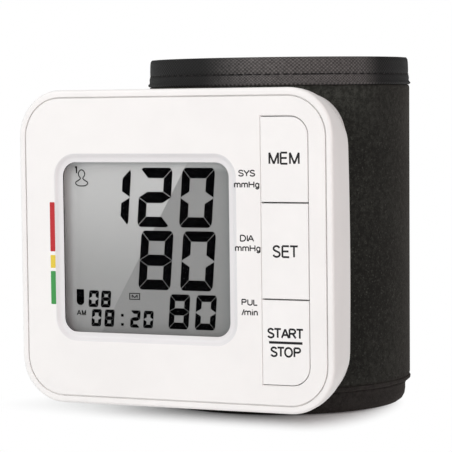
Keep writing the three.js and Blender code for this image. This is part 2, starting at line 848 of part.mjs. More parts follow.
// The lip that slips into the front case
function locatingLip() {
  const back = rearFront + lipLength;
  const outer = wall + gap;
  const inner = outer + lipWall;
  const tongue = cut(
    loft([frontRing(outer, rearFront - lipLength), frontRing(outer, back)]),
    loft([frontRing(inner, rearFront - lipLength - overrun), frontRing(inner, back + overrun)]),
  );
  const root = cut(
    loft([frontRing(wall / 2, rearFront), frontRing(wall / 2, back)]),
    loft([frontRing(inner, rearFront - overrun), frontRing(inner, back + overrun)]),
  );
  const notches = bossPlaces.map((place) =>
    rod("y", frontBossRadius + gap, [0, rearDepth], place, roundSides),
  );
  return cut(join(tongue, common(root, rearBody(0))), ...notches);
}

function rearCase() {
  const tray = box(
    [-caseWidth / 2, trayRight + trayWall],
    [trayFloorDepth, rearDepth],
    [-trayHalf - trayWall, trayHalf + trayWall],
  );
  const bosses = bossPlaces.map((place) =>
    rod("y", bossRadius, [bossMeet + gap / 2, rearDepth], place, roundSides),
  );
  const cuffBosses = cuffScrewHeights.map((height) =>
    rod(
      "y",
      cuffScrewRadius + gap + bossWall,
      [saddleOuter - wall - cuffBossLength, saddleOuter],
      [loopX, height - faceHeight],
      roundSides,
    ),
  );
  const cradleHalf = motorRadius + gap;
  const cradleX = [pumpX - cradleHalf, pumpX + cradleHalf];
  const rib = (z, front) => box(cradleX, [front, rearDepth], [z, z + ribThick]);
  const cradleFront = pumpDepth + motorRadius - cradleWrap;
  const motorThird = (motorLength - ribThick) / 3;
  const ribs = [
    rib(motorFoot + motorThird, cradleFront),
    rib(motorFoot + motorThird * 2, cradleFront),
    rib(headFoot + headHeight / 2, pumpDepth + headWidth / 2 + gap),
    rib(valveFoot + valveHeight / 2, pumpDepth + valveWidth / 2 + gap),
  ];
  const inner = common(join(tray, ...bosses, ...cuffBosses, ...ribs), rearBody(wall / 2));
  const rests = [-1, 1].map((side) =>
    box([restX - restWidth / 2, restX + restWidth / 2], [boardBackSeat, trayFloorBack], [
      side * restZ - restWidth / 2,
      side * restZ + restWidth / 2,
    ]),
  );
  const body = join(rearShell, inner, locatingLip(), ...rests);
  const back = rearDepth + overrun;
  const trayOpening = box([-caseWidth, openingRight], [trayFloorBack, back], [-trayHalf, trayHalf]);
  const trayInside = common(
    box([-caseWidth, trayRight], [trayFloorBack, back], [-trayHalf, trayHalf]),
    rearBody(wall),
  );
  const motorRoom = rod("z", motorRadius + gap, [motorFoot - gap, headFoot], pumpAxis, roundSides);
  const screwHoles = bossPlaces.flatMap((place) => [
    rod("y", bossHole, [bossMeet - overrun, back], place, roundSides),
    rod("y", screwHeadRadius + gap, [bossMeet + gap / 2 + bossFloor, back], place, roundSides),
  ]);
  const cuffHoles = cuffScrewHeights.map((height) =>
    rod("y", cuffScrewRadius + gap, [saddleOuter - wall - cuffBossLength - overrun, back], [
      loopX,
      height - faceHeight,
    ]),
  );
  const portHole = rod("y", nippleRadius + gap, [manifoldBack, back], [manifoldX, manifoldZ]);
  return cut(
    body,
    trayOpening,
    trayInside,
    motorRoom,
    portHole,
    ...screwHoles,
    ...cuffHoles,
    ...legSlots(),
  );
}

// Battery contacts: plates at the ends of the tray whose legs pass through its floor to the board
const batteryPlaces = [batteryX, batteryX + batteryPitch];
const contactOuter = trayHalf - gap;
const contactInner = contactOuter - contactThick;
const bumpTip = batteryLength / 2 + gap;

function contactSpans(x) {
  return {
    plateX: [x - contactWidth / 2, x + contactWidth / 2],
    plateY: [batteryDepth - contactWidth / 2, batteryDepth + contactWidth / 2],
    legX: [x - contactLegWidth / 2, x + contactLegWidth / 2],
    legY: [boardBackSeat, batteryDepth],
  };
}

function topContact(x) {
  const { plateX, plateY, legX, legY } = contactSpans(x);
  const z = [contactInner, contactOuter];
  const bump = rod("z", contactBump, [bumpTip, contactOuter - contactThick / 2], [x, batteryDepth]);
  return join(box(plateX, plateY, z), box(legX, legY, z), bump);
}

function bridgeContact() {
  const [first, second] = batteryPlaces.map(contactSpans);
  const z = [-contactOuter, -contactInner];
  const bumps = batteryPlaces.map((x) =>
    rod("z", contactBump, [-contactOuter + contactThick / 2, -bumpTip], [x, batteryDepth]),
  );
  return join(box([first.plateX[0], second.plateX[1]], first.plateY, z), ...bumps);
}

function legSlots() {
  return batteryPlaces.map((x) => {
    const { legX } = contactSpans(x);
    return box(
      [legX[0] - gap, legX[1] + gap],
      [trayFloorDepth - overrun, trayFloorBack + overrun],
      [contactInner - gap, contactOuter + gap],
    );
  });
}

// The battery cover, with tongues that reach under the fixed back between hollow and batteries
function batteryCover() {
  const edge = openingRight - gap;
  const region = box(
    [-caseWidth, edge],
    [trayFloorBack + gap, rearDepth + overrun],
    [-trayHalf + gap, trayHalf - gap],
  );
  const tip = edge + gap + tabReach;
  const underHollow = Math.sqrt((loopRadius + gap + wall) ** 2 - (tip - loopX) ** 2);
  const tabBack = loopDepth - underHollow - gap;
  const tabs = [-1, 1].flatMap((side) => {
    const tabSpan = [side * tabZ - tabWidth / 2, side * tabZ + tabWidth / 2];
    return [
      box([edge - tabRoot, tip], [tabBack - tabThick, tabBack], tabSpan),
      box([edge - tabRoot, edge], [tabBack - tabThick, rearDepth - wall / 2], tabSpan),
    ];
  });
  const slope = (caseWidth - rearWidth) / 2 / (rearDepth - frontDepth);
  const firstGrip = trayFloorBack + gap + gripPitch;
  const grips = Array.from({ length: gripCount }, (_, i) => {
    const depth = firstGrip + i * gripPitch;
    const x = -(caseWidth / 2 + sideBow - slope * (depth - frontDepth));
    return rod("z", gripRadius, [-gripLength / 2, gripLength / 2], [x, depth]);
  });
  return join(common(rearShell, region), ...tabs, ...grips);
}

addPiece(monitor, "rear_case", rearCase(), whitePlastic);
addPiece(monitor, "battery_cover", batteryCover(), whitePlastic);

function battery(x, up) {
  const half = batteryLength / 2;
  const profile = [
    [0, -half],
    [batteryRadius, -half],
    [batteryRadius, half - batteryNub],
    [batteryNubRadius, half - batteryNub],
    [batteryNubRadius, half],
    [0, half],
  ].map(([radius, along]) => [radius, up ? along : -along]);
  return turned("z", profile, [x, batteryDepth], roundSides);
}

batteryPlaces.forEach((x, i) => {
  addPiece(monitor, "battery_" + (i + 1), battery(x, i === 0), batteryFoil);
  addPiece(monitor, "battery_contact_" + (i + 1), topContact(x), steel);
});
addPiece(monitor, "battery_contact_bridge", bridgeContact(), steel);

// Case screws, with a slot across each head
const screwSeat = bossMeet + gap / 2 + bossFloor + gap;

function caseScrew([x, z]) {
  const profile = [
    [0, screwSeat - screwLength],
    [screwRadius, screwSeat - screwLength],
    [screwRadius, screwSeat],
    [screwHeadRadius, screwSeat],
    [screwHeadRadius, screwSeat + screwHeadThick],
    [0, screwSeat + screwHeadThick],
  ];
  const slot = box(
    [x - screwHeadRadius - overrun, x + screwHeadRadius + overrun],
    [screwSeat + screwHeadThick / 2, screwSeat + screwHeadThick + overrun],
    [z - screwSlot / 2, z + screwSlot / 2],
  );
  return cut(turned("y", profile, [x, z], smallSides), slot);
}

bossPlaces.forEach((place, i) => {
  addPiece(monitor, "case_screw_" + (i + 1), caseScrew(place), steel);
});

// The cuff's layers, from the outside in
const shellInner = loopRadius - shellThick;
const formerOuter = shellInner - gap;
const formerInner = formerOuter - formerThick;
const bladderOuter = formerInner - gap;
const bladderInner = bladderOuter - bladderThick;
const liningOuter = bladderInner - gap;
const liningInner = liningOuter - liningThick;
const seamDegrees = THREE.MathUtils.radToDeg(gap / loopRadius);
const layerFoot = bottomBinding + gap;
const layerTop = cuffHeight - topBinding - gap;

// Each layer has a base that stays with the case and an arm that swings open
const stretches = [
  { name: "base", from: armDegrees + seamDegrees, to: hingeDegrees + 360 - seamDegrees / 2 },
  { name: "arm", from: hingeDegrees + seamDegrees / 2, to: armDegrees },
];

function layer(inner, outer, low, high) {
  return [[inner, low], [outer, low], [outer, high], [inner, high]];
}

// Holes through the layers in front, for the air port and the two screws
function cuffHole(x, z, radius) {
  return rod("y", radius, [-loopRadius - overrun, -bladderOuter + gap], [x, z]);
}

const portX = manifoldX - loopX;
const portHeight = faceHeight + manifoldZ;
const portBore = nippleRadius + gap;
const portRadius = portBore + portWall;
const portFront = -Math.sqrt(loopRadius ** 2 - (Math.abs(portX) + portRadius) ** 2);

for (const { name, from, to } of stretches) {
  const held = name === "base";
  let shell = band(layer(shellInner, loopRadius, layerFoot, layerTop), from, to);
  let former = band(
    layer(formerInner, formerOuter, layerFoot + formerMargin, layerTop - formerMargin),
    from,
    to,
  );
  if (held) {
    const port = cuffHole(portX, portHeight, portRadius + gap);
    const screws = cuffScrewHeights.map((z) => cuffHole(0, z, cuffScrewRadius + gap));
    const sinks = cuffScrewHeights.map((z) =>
      rod(
        "y",
        cuffScrewHeadRadius + gap,
        [-formerInner - cuffScrewHeadThick - gap, -bladderOuter + gap],
        [0, z],
      ),
    );
    shell = cut(shell, port, ...screws);
    former = cut(former, port, ...screws, ...sinks);
  }
  addPiece(cuff, "cuff_shell_" + name, shell, pileFabric);
  addPiece(cuff, "cuff_former_" + name, former, blackPlastic);
  addPiece(
    cuff,
    "cuff_lining_" + name,
    band(layer(liningInner, liningOuter, layerFoot, layerTop), from, to),
    liningFabric,
  );
  addPiece(
    cuff,
    "top_binding_" + name,
    band(layer(liningInner, loopRadius - topTuck, cuffHeight - topBinding, cuffHeight), from, to),
    hemFabric,
  );
  addPiece(
    cuff,
    "bottom_binding_" + name,
    band(layer(liningInner, loopRadius - bottomTuck, 0, bottomBinding), from, to),
    hemFabric,
  );
}

const cuffMiddle = cuffHeight / 2;
addPiece(
  cuff,
  "air_bladder",
  band(
    layer(bladderInner, bladderOuter, cuffMiddle - bladderHeight / 2, cuffMiddle + bladderHeight / 2),
    bladderFromDegrees,
    bladderToDegrees,
  ),
  rubber,
);

// The socket in the cuff that the monitor's outlet nipple enters
addPiece(
  cuff,
  "cuff_air_port",
  pipe("y", portRadius, portBore, [portFront, -formerInner], [portX, portHeight], roundSides),
  greyPlastic,
);

// Screws that hold the former to the back of the case
cuffScrewHeights.forEach((z, i) => {
  const headBack = -formerInner;
  const headFront = headBack - cuffScrewHeadThick;
  const profile = [
    [0, headFront - cuffScrewLength],
    [cuffScrewRadius, headFront - cuffScrewLength],
    [cuffScrewRadius, headFront],
    [cuffScrewHeadRadius, headFront],
    [cuffScrewHeadRadius, headBack],
    [0, headBack],
  ];
  addPiece(cuff, "cuff_screw_" + (i + 1), turned("y", profile, [0, z]), steel);
});

// The closure: a flap sewn to the arm that lies over the base and grips it with hooks
const flapOuter = flapInner + flapThick;
const flapSpan = [cuffMiddle - flapHeight / 2, cuffMiddle + flapHeight / 2];
const hookSpan = [cuffMiddle - hookHeight / 2, cuffMiddle + hookHeight / 2];
addPiece(
  cuff,
  "flap_root",
  band(layer(loopRadius + gap, flapOuter, ...flapSpan), flapRootDegrees, armDegrees),
  pileFabric,
);
addPiece(
  cuff,
  "closure_flap",
  band(layer(flapInner, flapOuter, ...flapSpan), armDegrees + seamDegrees, flapDegrees),
  pileFabric,
);
addPiece(
  cuff,
  "hook_patch",
  band(layer(loopRadius + gap, flapInner - gap, ...hookSpan), hookFromDegrees, hookToDegrees),
  hookPlastic,
);

export default part;
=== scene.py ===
# %% [markdown]
# # A wrist blood pressure monitor, dressed around its CAD frame
# The CAD model is loaded as a fixed frame, and each visible part of the real thing is modelled again
# around it: the white case with its face, keys and display, and the black fabric cuff behind it.
# Every piece is drawn in millimetres, the way the real parts are measured, and settled into metres last.

# %% The frame
import math
from math import cos, pi, radians, sin, sqrt

import bmesh
import bpy
from mathutils import Matrix, Vector


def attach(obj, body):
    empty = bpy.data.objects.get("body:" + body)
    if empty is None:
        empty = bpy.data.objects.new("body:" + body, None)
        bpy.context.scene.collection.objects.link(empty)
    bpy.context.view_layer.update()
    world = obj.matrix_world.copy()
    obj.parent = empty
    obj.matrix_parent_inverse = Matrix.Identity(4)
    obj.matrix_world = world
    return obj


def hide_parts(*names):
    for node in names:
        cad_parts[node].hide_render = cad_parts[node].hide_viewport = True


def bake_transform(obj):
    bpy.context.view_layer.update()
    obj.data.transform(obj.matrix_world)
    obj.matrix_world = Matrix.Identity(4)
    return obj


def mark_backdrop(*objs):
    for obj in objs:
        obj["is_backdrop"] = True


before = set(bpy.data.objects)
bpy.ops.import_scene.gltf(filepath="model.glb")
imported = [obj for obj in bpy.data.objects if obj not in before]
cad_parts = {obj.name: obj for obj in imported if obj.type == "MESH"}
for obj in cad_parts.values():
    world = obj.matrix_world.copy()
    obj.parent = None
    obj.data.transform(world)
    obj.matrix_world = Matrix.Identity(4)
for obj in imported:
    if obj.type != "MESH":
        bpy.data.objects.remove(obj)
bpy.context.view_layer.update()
scene = bpy.context.scene

# %% [markdown]
# ## The camera
# The photograph was taken from the right of the face with a long lens, so the perspective is weak.
# The camera's three axes are worked out from its azimuth, elevation and roll, and its matrix is
# built from them, because that gives the same view each time.

# %% Camera
AZIMUTH, ELEVATION, ROLL = radians(25), radians(3.324), radians(-0.712)
CAMERA_DISTANCE = 0.427375
AIM = Vector((0.011765, -0.0393, 0.040476))
FOCAL_LENGTH, SENSOR = 175.25, 36


def aim_camera():
    back = Vector((sin(AZIMUTH) * cos(ELEVATION), -cos(AZIMUTH) * cos(ELEVATION), sin(ELEVATION)))
    level = (-back).cross(Vector((0, 0, 1))).normalized()
    upright = level.cross(-back)
    right = cos(ROLL) * level + sin(ROLL) * upright
    up = -sin(ROLL) * level + cos(ROLL) * upright
    camera = bpy.data.objects.new("camera", bpy.data.cameras.new("camera"))
    camera.data.lens, camera.data.sensor_width = FOCAL_LENGTH, SENSOR
    turn = Matrix((right, up, back)).transposed().to_4x4()
    camera.matrix_world = Matrix.Translation(AIM + back * CAMERA_DISTANCE) @ turn
    scene.collection.objects.link(camera)
    scene.camera = camera
    return camera


print("camera at", tuple(round(x, 4) for x in aim_camera().matrix_world.translation))

# %% [markdown]
# ## Sizes
# The case is drawn about the middle of its face: x to the right, depth from the face into the case,
# z up. The cuff is drawn about the axis of its loop. These are the CAD model's own sizes, so a piece
# drawn with them lands where its solid is.

# %% Sizes in millimetres
MM = 0.001
FACE_MIDDLE = Vector((0, -39.3, 35.75))
LOOP_MIDDLE = Vector((2.4, 8.7, 0))
LOOP_DEPTH = 48
CASE_WIDTH, CASE_HEIGHT, CASE_CORNER = 68.5, 63, 9.3
WALL, SIDE_BOW, EDGE_ROUND = 1.6, 0.55, 0.6
DRAW_SIDE, DRAW_TOP, DRAW_CORNER = 0.5, 0.85, 1.2
FRONT_DEPTH, FRONT_WALL = 8.4, 1.2
REAR_FRONT, REAR_DEPTH, REAR_ROUND, REAR_CORNER = 8.7, 25.5, 3.5, 8
REAR_WIDTH, REAR_HEIGHT = 52.6, 60.6
PANEL_WIDTH, PANEL_HEIGHT, PANEL_CORNER, PANEL_THICK = 65.36, 59.7, 7.85, 1.4
PANEL_SEAT = 1.7
GROOVE, GROOVE_DEPTH, STEP = 0.26, 0.48, 0.05
SOFT_POCKET, SOFT_PLATE, SOFT_SLIT, SOFT_KEY, SOFT_GLASS = 0.08, 0.1, 0.06, 0.12, 0.08
WINDOW_X, WINDOW_WIDTH, WINDOW_HEIGHT, WINDOW_CORNER = -6.145, 36.77, 34.15, 2.9
WELL_WIDTH, WELL_DEPTH, LIP = 1.75, 0.5, 0.45
KEY_X, KEY_WIDTH, KEY_COLUMN, SET_HEIGHT, KEY_CORNER = 24.21, 9.92, 52.08, 18.67, 3.8
KEY_GAP, KEY_SEPARATOR, KEY_END_GAP, LEFT_SHIFT = 0.22, 0.28, 0.18, 0.07
LENS_FRONT, LENS_BACK = 1.25, 2.25
GLASS_FRONT, GLASS_BACK = 2.55, 3.65
LOOP_RADIUS, CUFF_HEIGHT = 27.9, 73.4
print("case", CASE_WIDTH, "x", CASE_HEIGHT, "mm, cuff", CUFF_HEIGHT, "mm high")

# %% [markdown]
# ## Finishes made of nodes
# A finish is a material whose colour, roughness and fine relief come from procedural nodes. Shader
# maths is easier to read as sums than as a web of nodes, so a wire wraps a socket and each sum or
# product adds its Math node. Everything else comes from one method that takes the node's type, its
# settings and its inputs.


# %% Wires and finishes
class Wire:
    def __init__(self, finish, socket):
        self.finish, self.socket = finish, socket

    def maths(self, how, *values):
        return self.finish.node("ShaderNodeMath", {"operation": how}, values)

    def __add__(self, other):
        return self.maths("ADD", self, other)

    def __sub__(self, other):
        return self.maths("SUBTRACT", self, other)

    def __rsub__(self, other):
        return self.maths("SUBTRACT", other, self)

    def __mul__(self, other):
        return self.maths("MULTIPLY", self, other)

    def __truediv__(self, other):
        return self.maths("DIVIDE", self, other)

    def __pow__(self, other):
        return self.maths("POWER", self, other)

    __radd__, __rmul__ = __add__, __mul__

    def wave(self, pitch):
        return self.maths("SINE", self * (2 * pi / pitch))

    def larger(self, other):
        return self.maths("MAXIMUM", self, other)

    def above(self, level):
        return self.maths("GREATER_THAN", self, level)

    def between(self, low, high):
        return self.above(low) * (1 - self.above(high))

    def rise(self, start, end):
        return self.finish.node(
            "ShaderNodeMapRange",
            {"interpolation_type": "SMOOTHSTEP"},
            {"Value": self, "From Min": start, "From Max": end},
        )


class Finish:
    def __init__(self, name, **constants):
        self.material = bpy.data.materials.new(name)
        self.material.use_nodes = True
        self.tree = self.material.node_tree
        self.surface = self.tree.nodes["Principled BSDF"]
        for socket, value in constants.items():
            self.surface.inputs[socket.replace("_", " ")].default_value = value

    def node(self, kind, settings=None, values=(), out=0):
        made = self.tree.nodes.new(kind)
        for key, value in (settings or {}).items():
            setattr(made, key, value)
        pairs = values.items() if isinstance(values, dict) else enumerate(values)
        for key, value in pairs:
            self.put(made.inputs[key], value)
        return Wire(self, made.outputs[out])

    def put(self, socket, value):
        if isinstance(value, Wire):
            self.tree.links.new(value.socket, socket)
        elif socket.type == "RGBA":
            socket.default_value = (*value, 1)
        else:
            socket.default_value = value

    def shows(self, **values):
        for socket, value in values.items():
            self.put(self.surface.inputs[socket.replace("_", " ")], value)
        return self

    def place(self):
        return self.node("ShaderNodeTexCoord", out="Object")

    def cloth(self):
        """The piece's own map: millimetres along the cuff, and up it."""
        along = self.node("ShaderNodeSeparateXYZ", values=[self.node("ShaderNodeUVMap", {"uv_map": "cloth"})])
        return along, Wire(self, along.socket.node.outputs[1])

    def axes(self):
        split = self.node("ShaderNodeSeparateXYZ", values=[self.place()])
        return [Wire(self, split.socket.node.outputs[k]) for k in range(3)]

    def stretched(self, factors):
        return self.node("ShaderNodeVectorMath", {"operation": "MULTIPLY"}, [self.place(), factors])

    def grain(self, scale, detail=2, vector=None):
        return self.node(
            "ShaderNodeTexNoise",
            values={"Vector": vector or self.place(), "Scale": scale, "Detail": detail},
        )

    def mix(self, share, first, second):
        return self.node("ShaderNodeMix", {"data_type": "RGBA"}, {0: share, 6: first, 7: second}, 2)

    def relief(self, height, depth):
        """A bump of the given depth in metres."""
        return self.shows(Normal=self.node("ShaderNodeBump", values={"Height": height, "Distance": depth}))


CLOUDED = 0.97


def plastic(name, colour, roughness, grain_depth=0.00001):
    """Moulded plastic: a fine spark-eroded grain, with a little cloudiness in colour and gloss."""
    finish = Finish(name)
    cloud = finish.grain(90, 3)
    fine = finish.grain(5200, 2)
    darker = [c * CLOUDED for c in colour]
    finish.shows(
        Base_Color=finish.mix(cloud.rise(0.3, 0.7), darker, colour),
        Roughness=roughness + (fine - 0.5) * 0.12 + (cloud - 0.5) * 0.06,
    )
    return finish.relief(fine, grain_depth)


WHITE = (0.905, 0.896, 0.882)
white_plastic = plastic("white_plastic", WHITE, 0.46)
key_plastic = plastic("key_plastic", (0.91, 0.905, 0.893), 0.42, 0.000006)
print("finishes so far:", white_plastic.material.name, key_plastic.material.name)

# %% [markdown]
# ## Tools for moulded shapes
# Nearly every part of the case is a rounded rectangle drawn at several depths. An outline starts as
# a one-square grid whose corners are rounded by a vertex bevel. Neighbouring outlines are bridged,
# which gives a wall, and a flat face between several outlines is filled with triangles.


# %% Outlines and walls
def outline(bm, width, height, corner, depth, middle=(0, 0), steps=14, chosen=None):
    before = set(bm.verts)
    square = bmesh.ops.create_grid(bm, x_segments=1, y_segments=1, size=0.5)["verts"]
    bmesh.ops.scale(bm, vec=(width, height, 1), verts=square)
    rounded = [v for v in square if chosen is None or chosen(v.co.x, v.co.y)]
    if corner > 0 and rounded:
        bmesh.ops.bevel(
            bm, geom=rounded, offset=corner, segments=steps, profile=0.5, affect="VERTICES", material=-1
        )
    points = [v for v in bm.verts if v not in before]
    bmesh.ops.delete(bm, geom=list({f for v in points for f in v.link_faces}), context="FACES_ONLY")
    bmesh.ops.rotate(bm, verts=points, cent=(0, 0, 0), matrix=Matrix.Rotation(pi / 2, 3, "X"))
    bmesh.ops.translate(bm, verts=points, vec=(middle[0], depth, middle[1]))
    return list({e for v in points for e in v.link_edges})


def rounded_edge(bm, size, corner, radius, way=-1, depth=0, steps=4, **place):
    """Outlines that turn from a flat face into a wall. With way=1 the wall is that of an opening."""
    loops = []
    for i in range(steps + 1):
        turn = pi / 2 * i / steps
        grow = way * radius * (1 - sin(turn))
        loops.append(
            outline(
                bm, size[0] + grow * 2, size[1] + grow * 2, corner + grow if corner else 0,
                depth + radius * (1 - cos(turn)), **place,
            )
        )
    return loops


def right_side(x, z):
    return x > 0


APART, MERGED = 50, 0.0008


def walls(bm, loops):
    """Bridges each loop to the next, drawn apart for the moment: two loops in one plane could twist."""
    for first, second in zip(loops, loops[1:]):
        points = list({v for e in second for v in e.verts})
        bmesh.ops.translate(bm, verts=points, vec=(0, APART, 0))
        bmesh.ops.bridge_loops(bm, edges=first + second)
        bmesh.ops.translate(bm, verts=points, vec=(0, -APART, 0))


def fill(bm, *loops):
    bmesh.ops.triangle_fill(
        bm, use_beauty=True, edges=[e for loop in loops for e in loop], normal=(0, -1, 0)
    )


def capped(bm, loops):
    """Walls from the first loop to the last, and a face over either end."""
    walls(bm, loops)
    fill(bm, loops[0])
    fill(bm, loops[-1])


LEVELS = range(-20, 21, 5)


def slice_level(bm):
    """Cuts a wall at level heights, so that it can swell."""
    for z in LEVELS:
        bmesh.ops.bisect_plane(
            bm, geom=bm.verts[:] + bm.edges[:] + bm.faces[:], plane_co=(0, 0, z), plane_no=(0, 0, 1)
        )


def drum(bm, radius, span, centre, axis="Y", steps=32):
    """A cylinder along one axis: centre is its place in the other two, in order."""
    ring = bmesh.ops.create_cone(
        bm, cap_ends=True, segments=steps, radius1=radius, radius2=radius, depth=span[1] - span[0]
    )["verts"]
    middle = (span[0] + span[1]) / 2
    if axis == "Y":
        bmesh.ops.rotate(bm, verts=ring, cent=(0, 0, 0), matrix=Matrix.Rotation(pi / 2, 3, "X"))
        bmesh.ops.translate(bm, verts=ring, vec=(centre[0], middle, centre[1]))
    else:
        bmesh.ops.translate(bm, verts=ring, vec=(*centre, middle))


def settle(bm, name, body, finish, middle=FACE_MIDDLE, nodes=(), sharp=32, flat=True):
    """Turns a drawing in millimetres into an object in metres that rides on a body."""
    bmesh.ops.remove_doubles(bm, verts=bm.verts, dist=MERGED)
    bmesh.ops.recalc_face_normals(bm, faces=bm.faces)
    for face in bm.faces:
        face.smooth = True
    for edge in bm.edges:
        edge.smooth = edge.is_manifold and edge.calc_face_angle(0) < radians(sharp)
    bmesh.ops.translate(bm, verts=bm.verts, vec=middle)
    bmesh.ops.scale(bm, verts=bm.verts, vec=(MM, MM, MM))
    mesh = bpy.data.meshes.new(name)
    bm.to_mesh(mesh)
    bm.free()
    piece = bpy.data.objects.new(name, mesh)
    scene.collection.objects.link(piece)
    for one in finish if isinstance(finish, (list, tuple)) else [finish]:
        mesh.materials.append(one.material)
    if body:
        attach(piece, body)
    if nodes:
        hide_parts(*nodes)
    if flat:
        piece.modifiers.new("flat faces stay flat", "WEIGHTED_NORMAL").keep_sharp = True
    return piece


# %% [markdown]
# ## The front moulding
# The real case front is one moulding: a narrow flat rim, a soft outer edge, straight side walls that
# swell a little, and a pocket that the face plate is glued into. It could be a box with a Boolean
# pocket, but outlines that are bridged keep the faces even, so the soft edge shades well.

# %% Front shell
KEY_HOLE_GROW, GLASS_ROOM, GLASS_HOLE_CORNER, FIT = 1.3, 2.5, 1.5, 0.04
WALL_DEPTHS = (2.8, 4.2, 5.6, 7.0, FRONT_DEPTH)


def case_size(depth, inset=0):
    """Width, height and corner of the case at a depth: drawn in towards the parting line, then tapered."""
    bend = min(depth / FRONT_DEPTH, 1) ** 2
    taper = max(depth - FRONT_DEPTH, 0) / (REAR_DEPTH - FRONT_DEPTH)
    front = (
        CASE_WIDTH - DRAW_SIDE * bend * 2, CASE_HEIGHT - DRAW_TOP * bend * 2, CASE_CORNER + DRAW_CORNER * bend
    )
    rear = (REAR_WIDTH, REAR_HEIGHT, REAR_CORNER)
    width, height, corner = (a + (b - a) * taper for a, b in zip(front, rear))
    return width - inset * 2, height - inset * 2, corner - inset


def front_shell():
    bm = bmesh.new()
    size = (CASE_WIDTH, CASE_HEIGHT)
    outer = rounded_edge(bm, size, CASE_CORNER, EDGE_ROUND, steps=6)
    outer += [outline(bm, *case_size(depth), depth) for depth in WALL_DEPTHS]
    inner = [outline(bm, *case_size(depth, WALL), depth) for depth in (FRONT_DEPTH, PANEL_SEAT + FRONT_WALL)]
    wide = (PANEL_WIDTH + GROOVE * 2, PANEL_HEIGHT + GROOVE * 2)
    pocket = rounded_edge(bm, wide, PANEL_CORNER + GROOVE, SOFT_POCKET, way=1, steps=2)
    pocket.append(outline(bm, *wide, PANEL_CORNER + GROOVE, GROOVE_DEPTH))
    for depth in (GROOVE_DEPTH + STEP, PANEL_SEAT):
        pocket.append(
            outline(bm, PANEL_WIDTH + FIT, PANEL_HEIGHT + FIT, PANEL_CORNER + FIT / 2, depth)
        )
    holes = []
    for depth in (PANEL_SEAT, PANEL_SEAT + FRONT_WALL):
        holes.append([
            outline(
                bm, WINDOW_WIDTH + GLASS_ROOM * 2, WINDOW_HEIGHT + GLASS_ROOM * 2, GLASS_HOLE_CORNER, depth,
                (WINDOW_X, 0),
            ),
            outline(
                bm, KEY_WIDTH + KEY_HOLE_GROW * 2, KEY_COLUMN + KEY_HOLE_GROW * 2,
                KEY_CORNER + KEY_HOLE_GROW, depth, (KEY_X, 0), chosen=right_side,
            ),
        ])
    walls(bm, pocket[::-1] + outer + inner)
    fill(bm, pocket[-1], *holes[0])
    fill(bm, inner[-1], *holes[1])
    for pair in zip(*holes):
        walls(bm, pair)
    slice_level(bm)
    for vert in bm.verts:
        if abs(vert.co.x) > CASE_WIDTH / 2 - 1:
            swell = SIDE_BOW * vert.co.y / FRONT_DEPTH * (1 - (vert.co.z / (CASE_HEIGHT / 2)) ** 2)
            vert.co.x += swell * vert.co.x / (CASE_WIDTH / 2)
    return settle(bm, "front_shell", "monitor", white_plastic, nodes=["front_case"])


print("front shell:", len(front_shell().data.polygons), "faces")

# %% [markdown]
# ## The face plate
# The plate carries the sunk window and one long opening for the three keys. Its surround slopes down
# to the window and ends in a thin lip, which is what throws the fine shadow on the display. The lip's
# wall is painted near black, as painted shade for the gap around the window.

# %% Face plate
KEY_LEDGE_DEPTH, KEY_LEDGE, LIP_BACK = 0.2, 0.13, 1.5
WELL_SHARES = ((0, 0), (0.08, 0.08), (0.2, 0.32), (0.34, 0.66), (0.48, 0.88), (0.64, 0.98), (1, 1))
surround = plastic("window_surround", (0.775, 0.768, 0.775), 0.4, 0.000005)
# Painted shade: a near-black finish for the lip's wall, where the gap around the window lies in shade.
painted_shade_lip = plastic("painted_shade_lip", (0.09, 0.09, 0.092), 0.6, 0.000005)


def face_plate():
    bm = bmesh.new()
    size = (PANEL_WIDTH, PANEL_HEIGHT)
    outside = rounded_edge(bm, size, PANEL_CORNER, SOFT_PLATE, steps=3)
    outside.append(outline(bm, *size, PANEL_CORNER, PANEL_THICK))

    def window(grow, depth):
        size = (WINDOW_WIDTH + grow * 2, WINDOW_HEIGHT + grow * 2)
        return outline(bm, *size, WINDOW_CORNER + grow, depth, (WINDOW_X, 0))

    well = [window(WELL_WIDTH * (1 - share), WELL_DEPTH * fall) for share, fall in WELL_SHARES]
    lip_depth = WELL_DEPTH + LIP
    well += [window(0, lip_depth), window(LIP_BACK, lip_depth + STEP), window(LIP_BACK, PANEL_THICK)]
    opening = (KEY_WIDTH + KEY_GAP, KEY_COLUMN + KEY_GAP)
    corner = KEY_CORNER + KEY_GAP / 2
    keys = {"middle": (KEY_X, 0), "chosen": right_side}
    slit = rounded_edge(bm, opening, corner, SOFT_SLIT, way=1, steps=2, **keys)
    slit.append(outline(bm, *opening, corner, KEY_LEDGE_DEPTH, **keys))
    for depth in (KEY_LEDGE_DEPTH + STEP, PANEL_THICK):
        ledge = [x - KEY_LEDGE * 2 for x in opening]
        slit.append(outline(bm, *ledge, corner - KEY_LEDGE, depth, **keys))
    slope = len(WELL_SHARES)
    # The sloping surround takes the second finish, and the lip's wall the painted shade.
    for index, run in ((1, well[:slope]), (2, well[slope - 1:slope + 1])):
        before = set(bm.faces)
        walls(bm, run)
        for face in set(bm.faces) - before:
            face.material_index = index
    for run in (outside, well[slope:], slit):
        walls(bm, run)
    fill(bm, outside[0], well[0], slit[0])
    fill(bm, outside[-1], well[-1], slit[-1])
    finishes = [white_plastic, surround, painted_shade_lip]
    return settle(bm, "face_plate", "monitor", finishes, nodes=["face_panel"])


print("face plate:", len(face_plate().data.polygons), "faces")

# %% [markdown]
# ## The three keys
# The keys lie flush in one column, so only their slits show. Each is a cap with a small edge, a
# flange that keeps it from falling out, and a stem that reaches its switch. The outer corners of the
# column are rounded on its right side only.

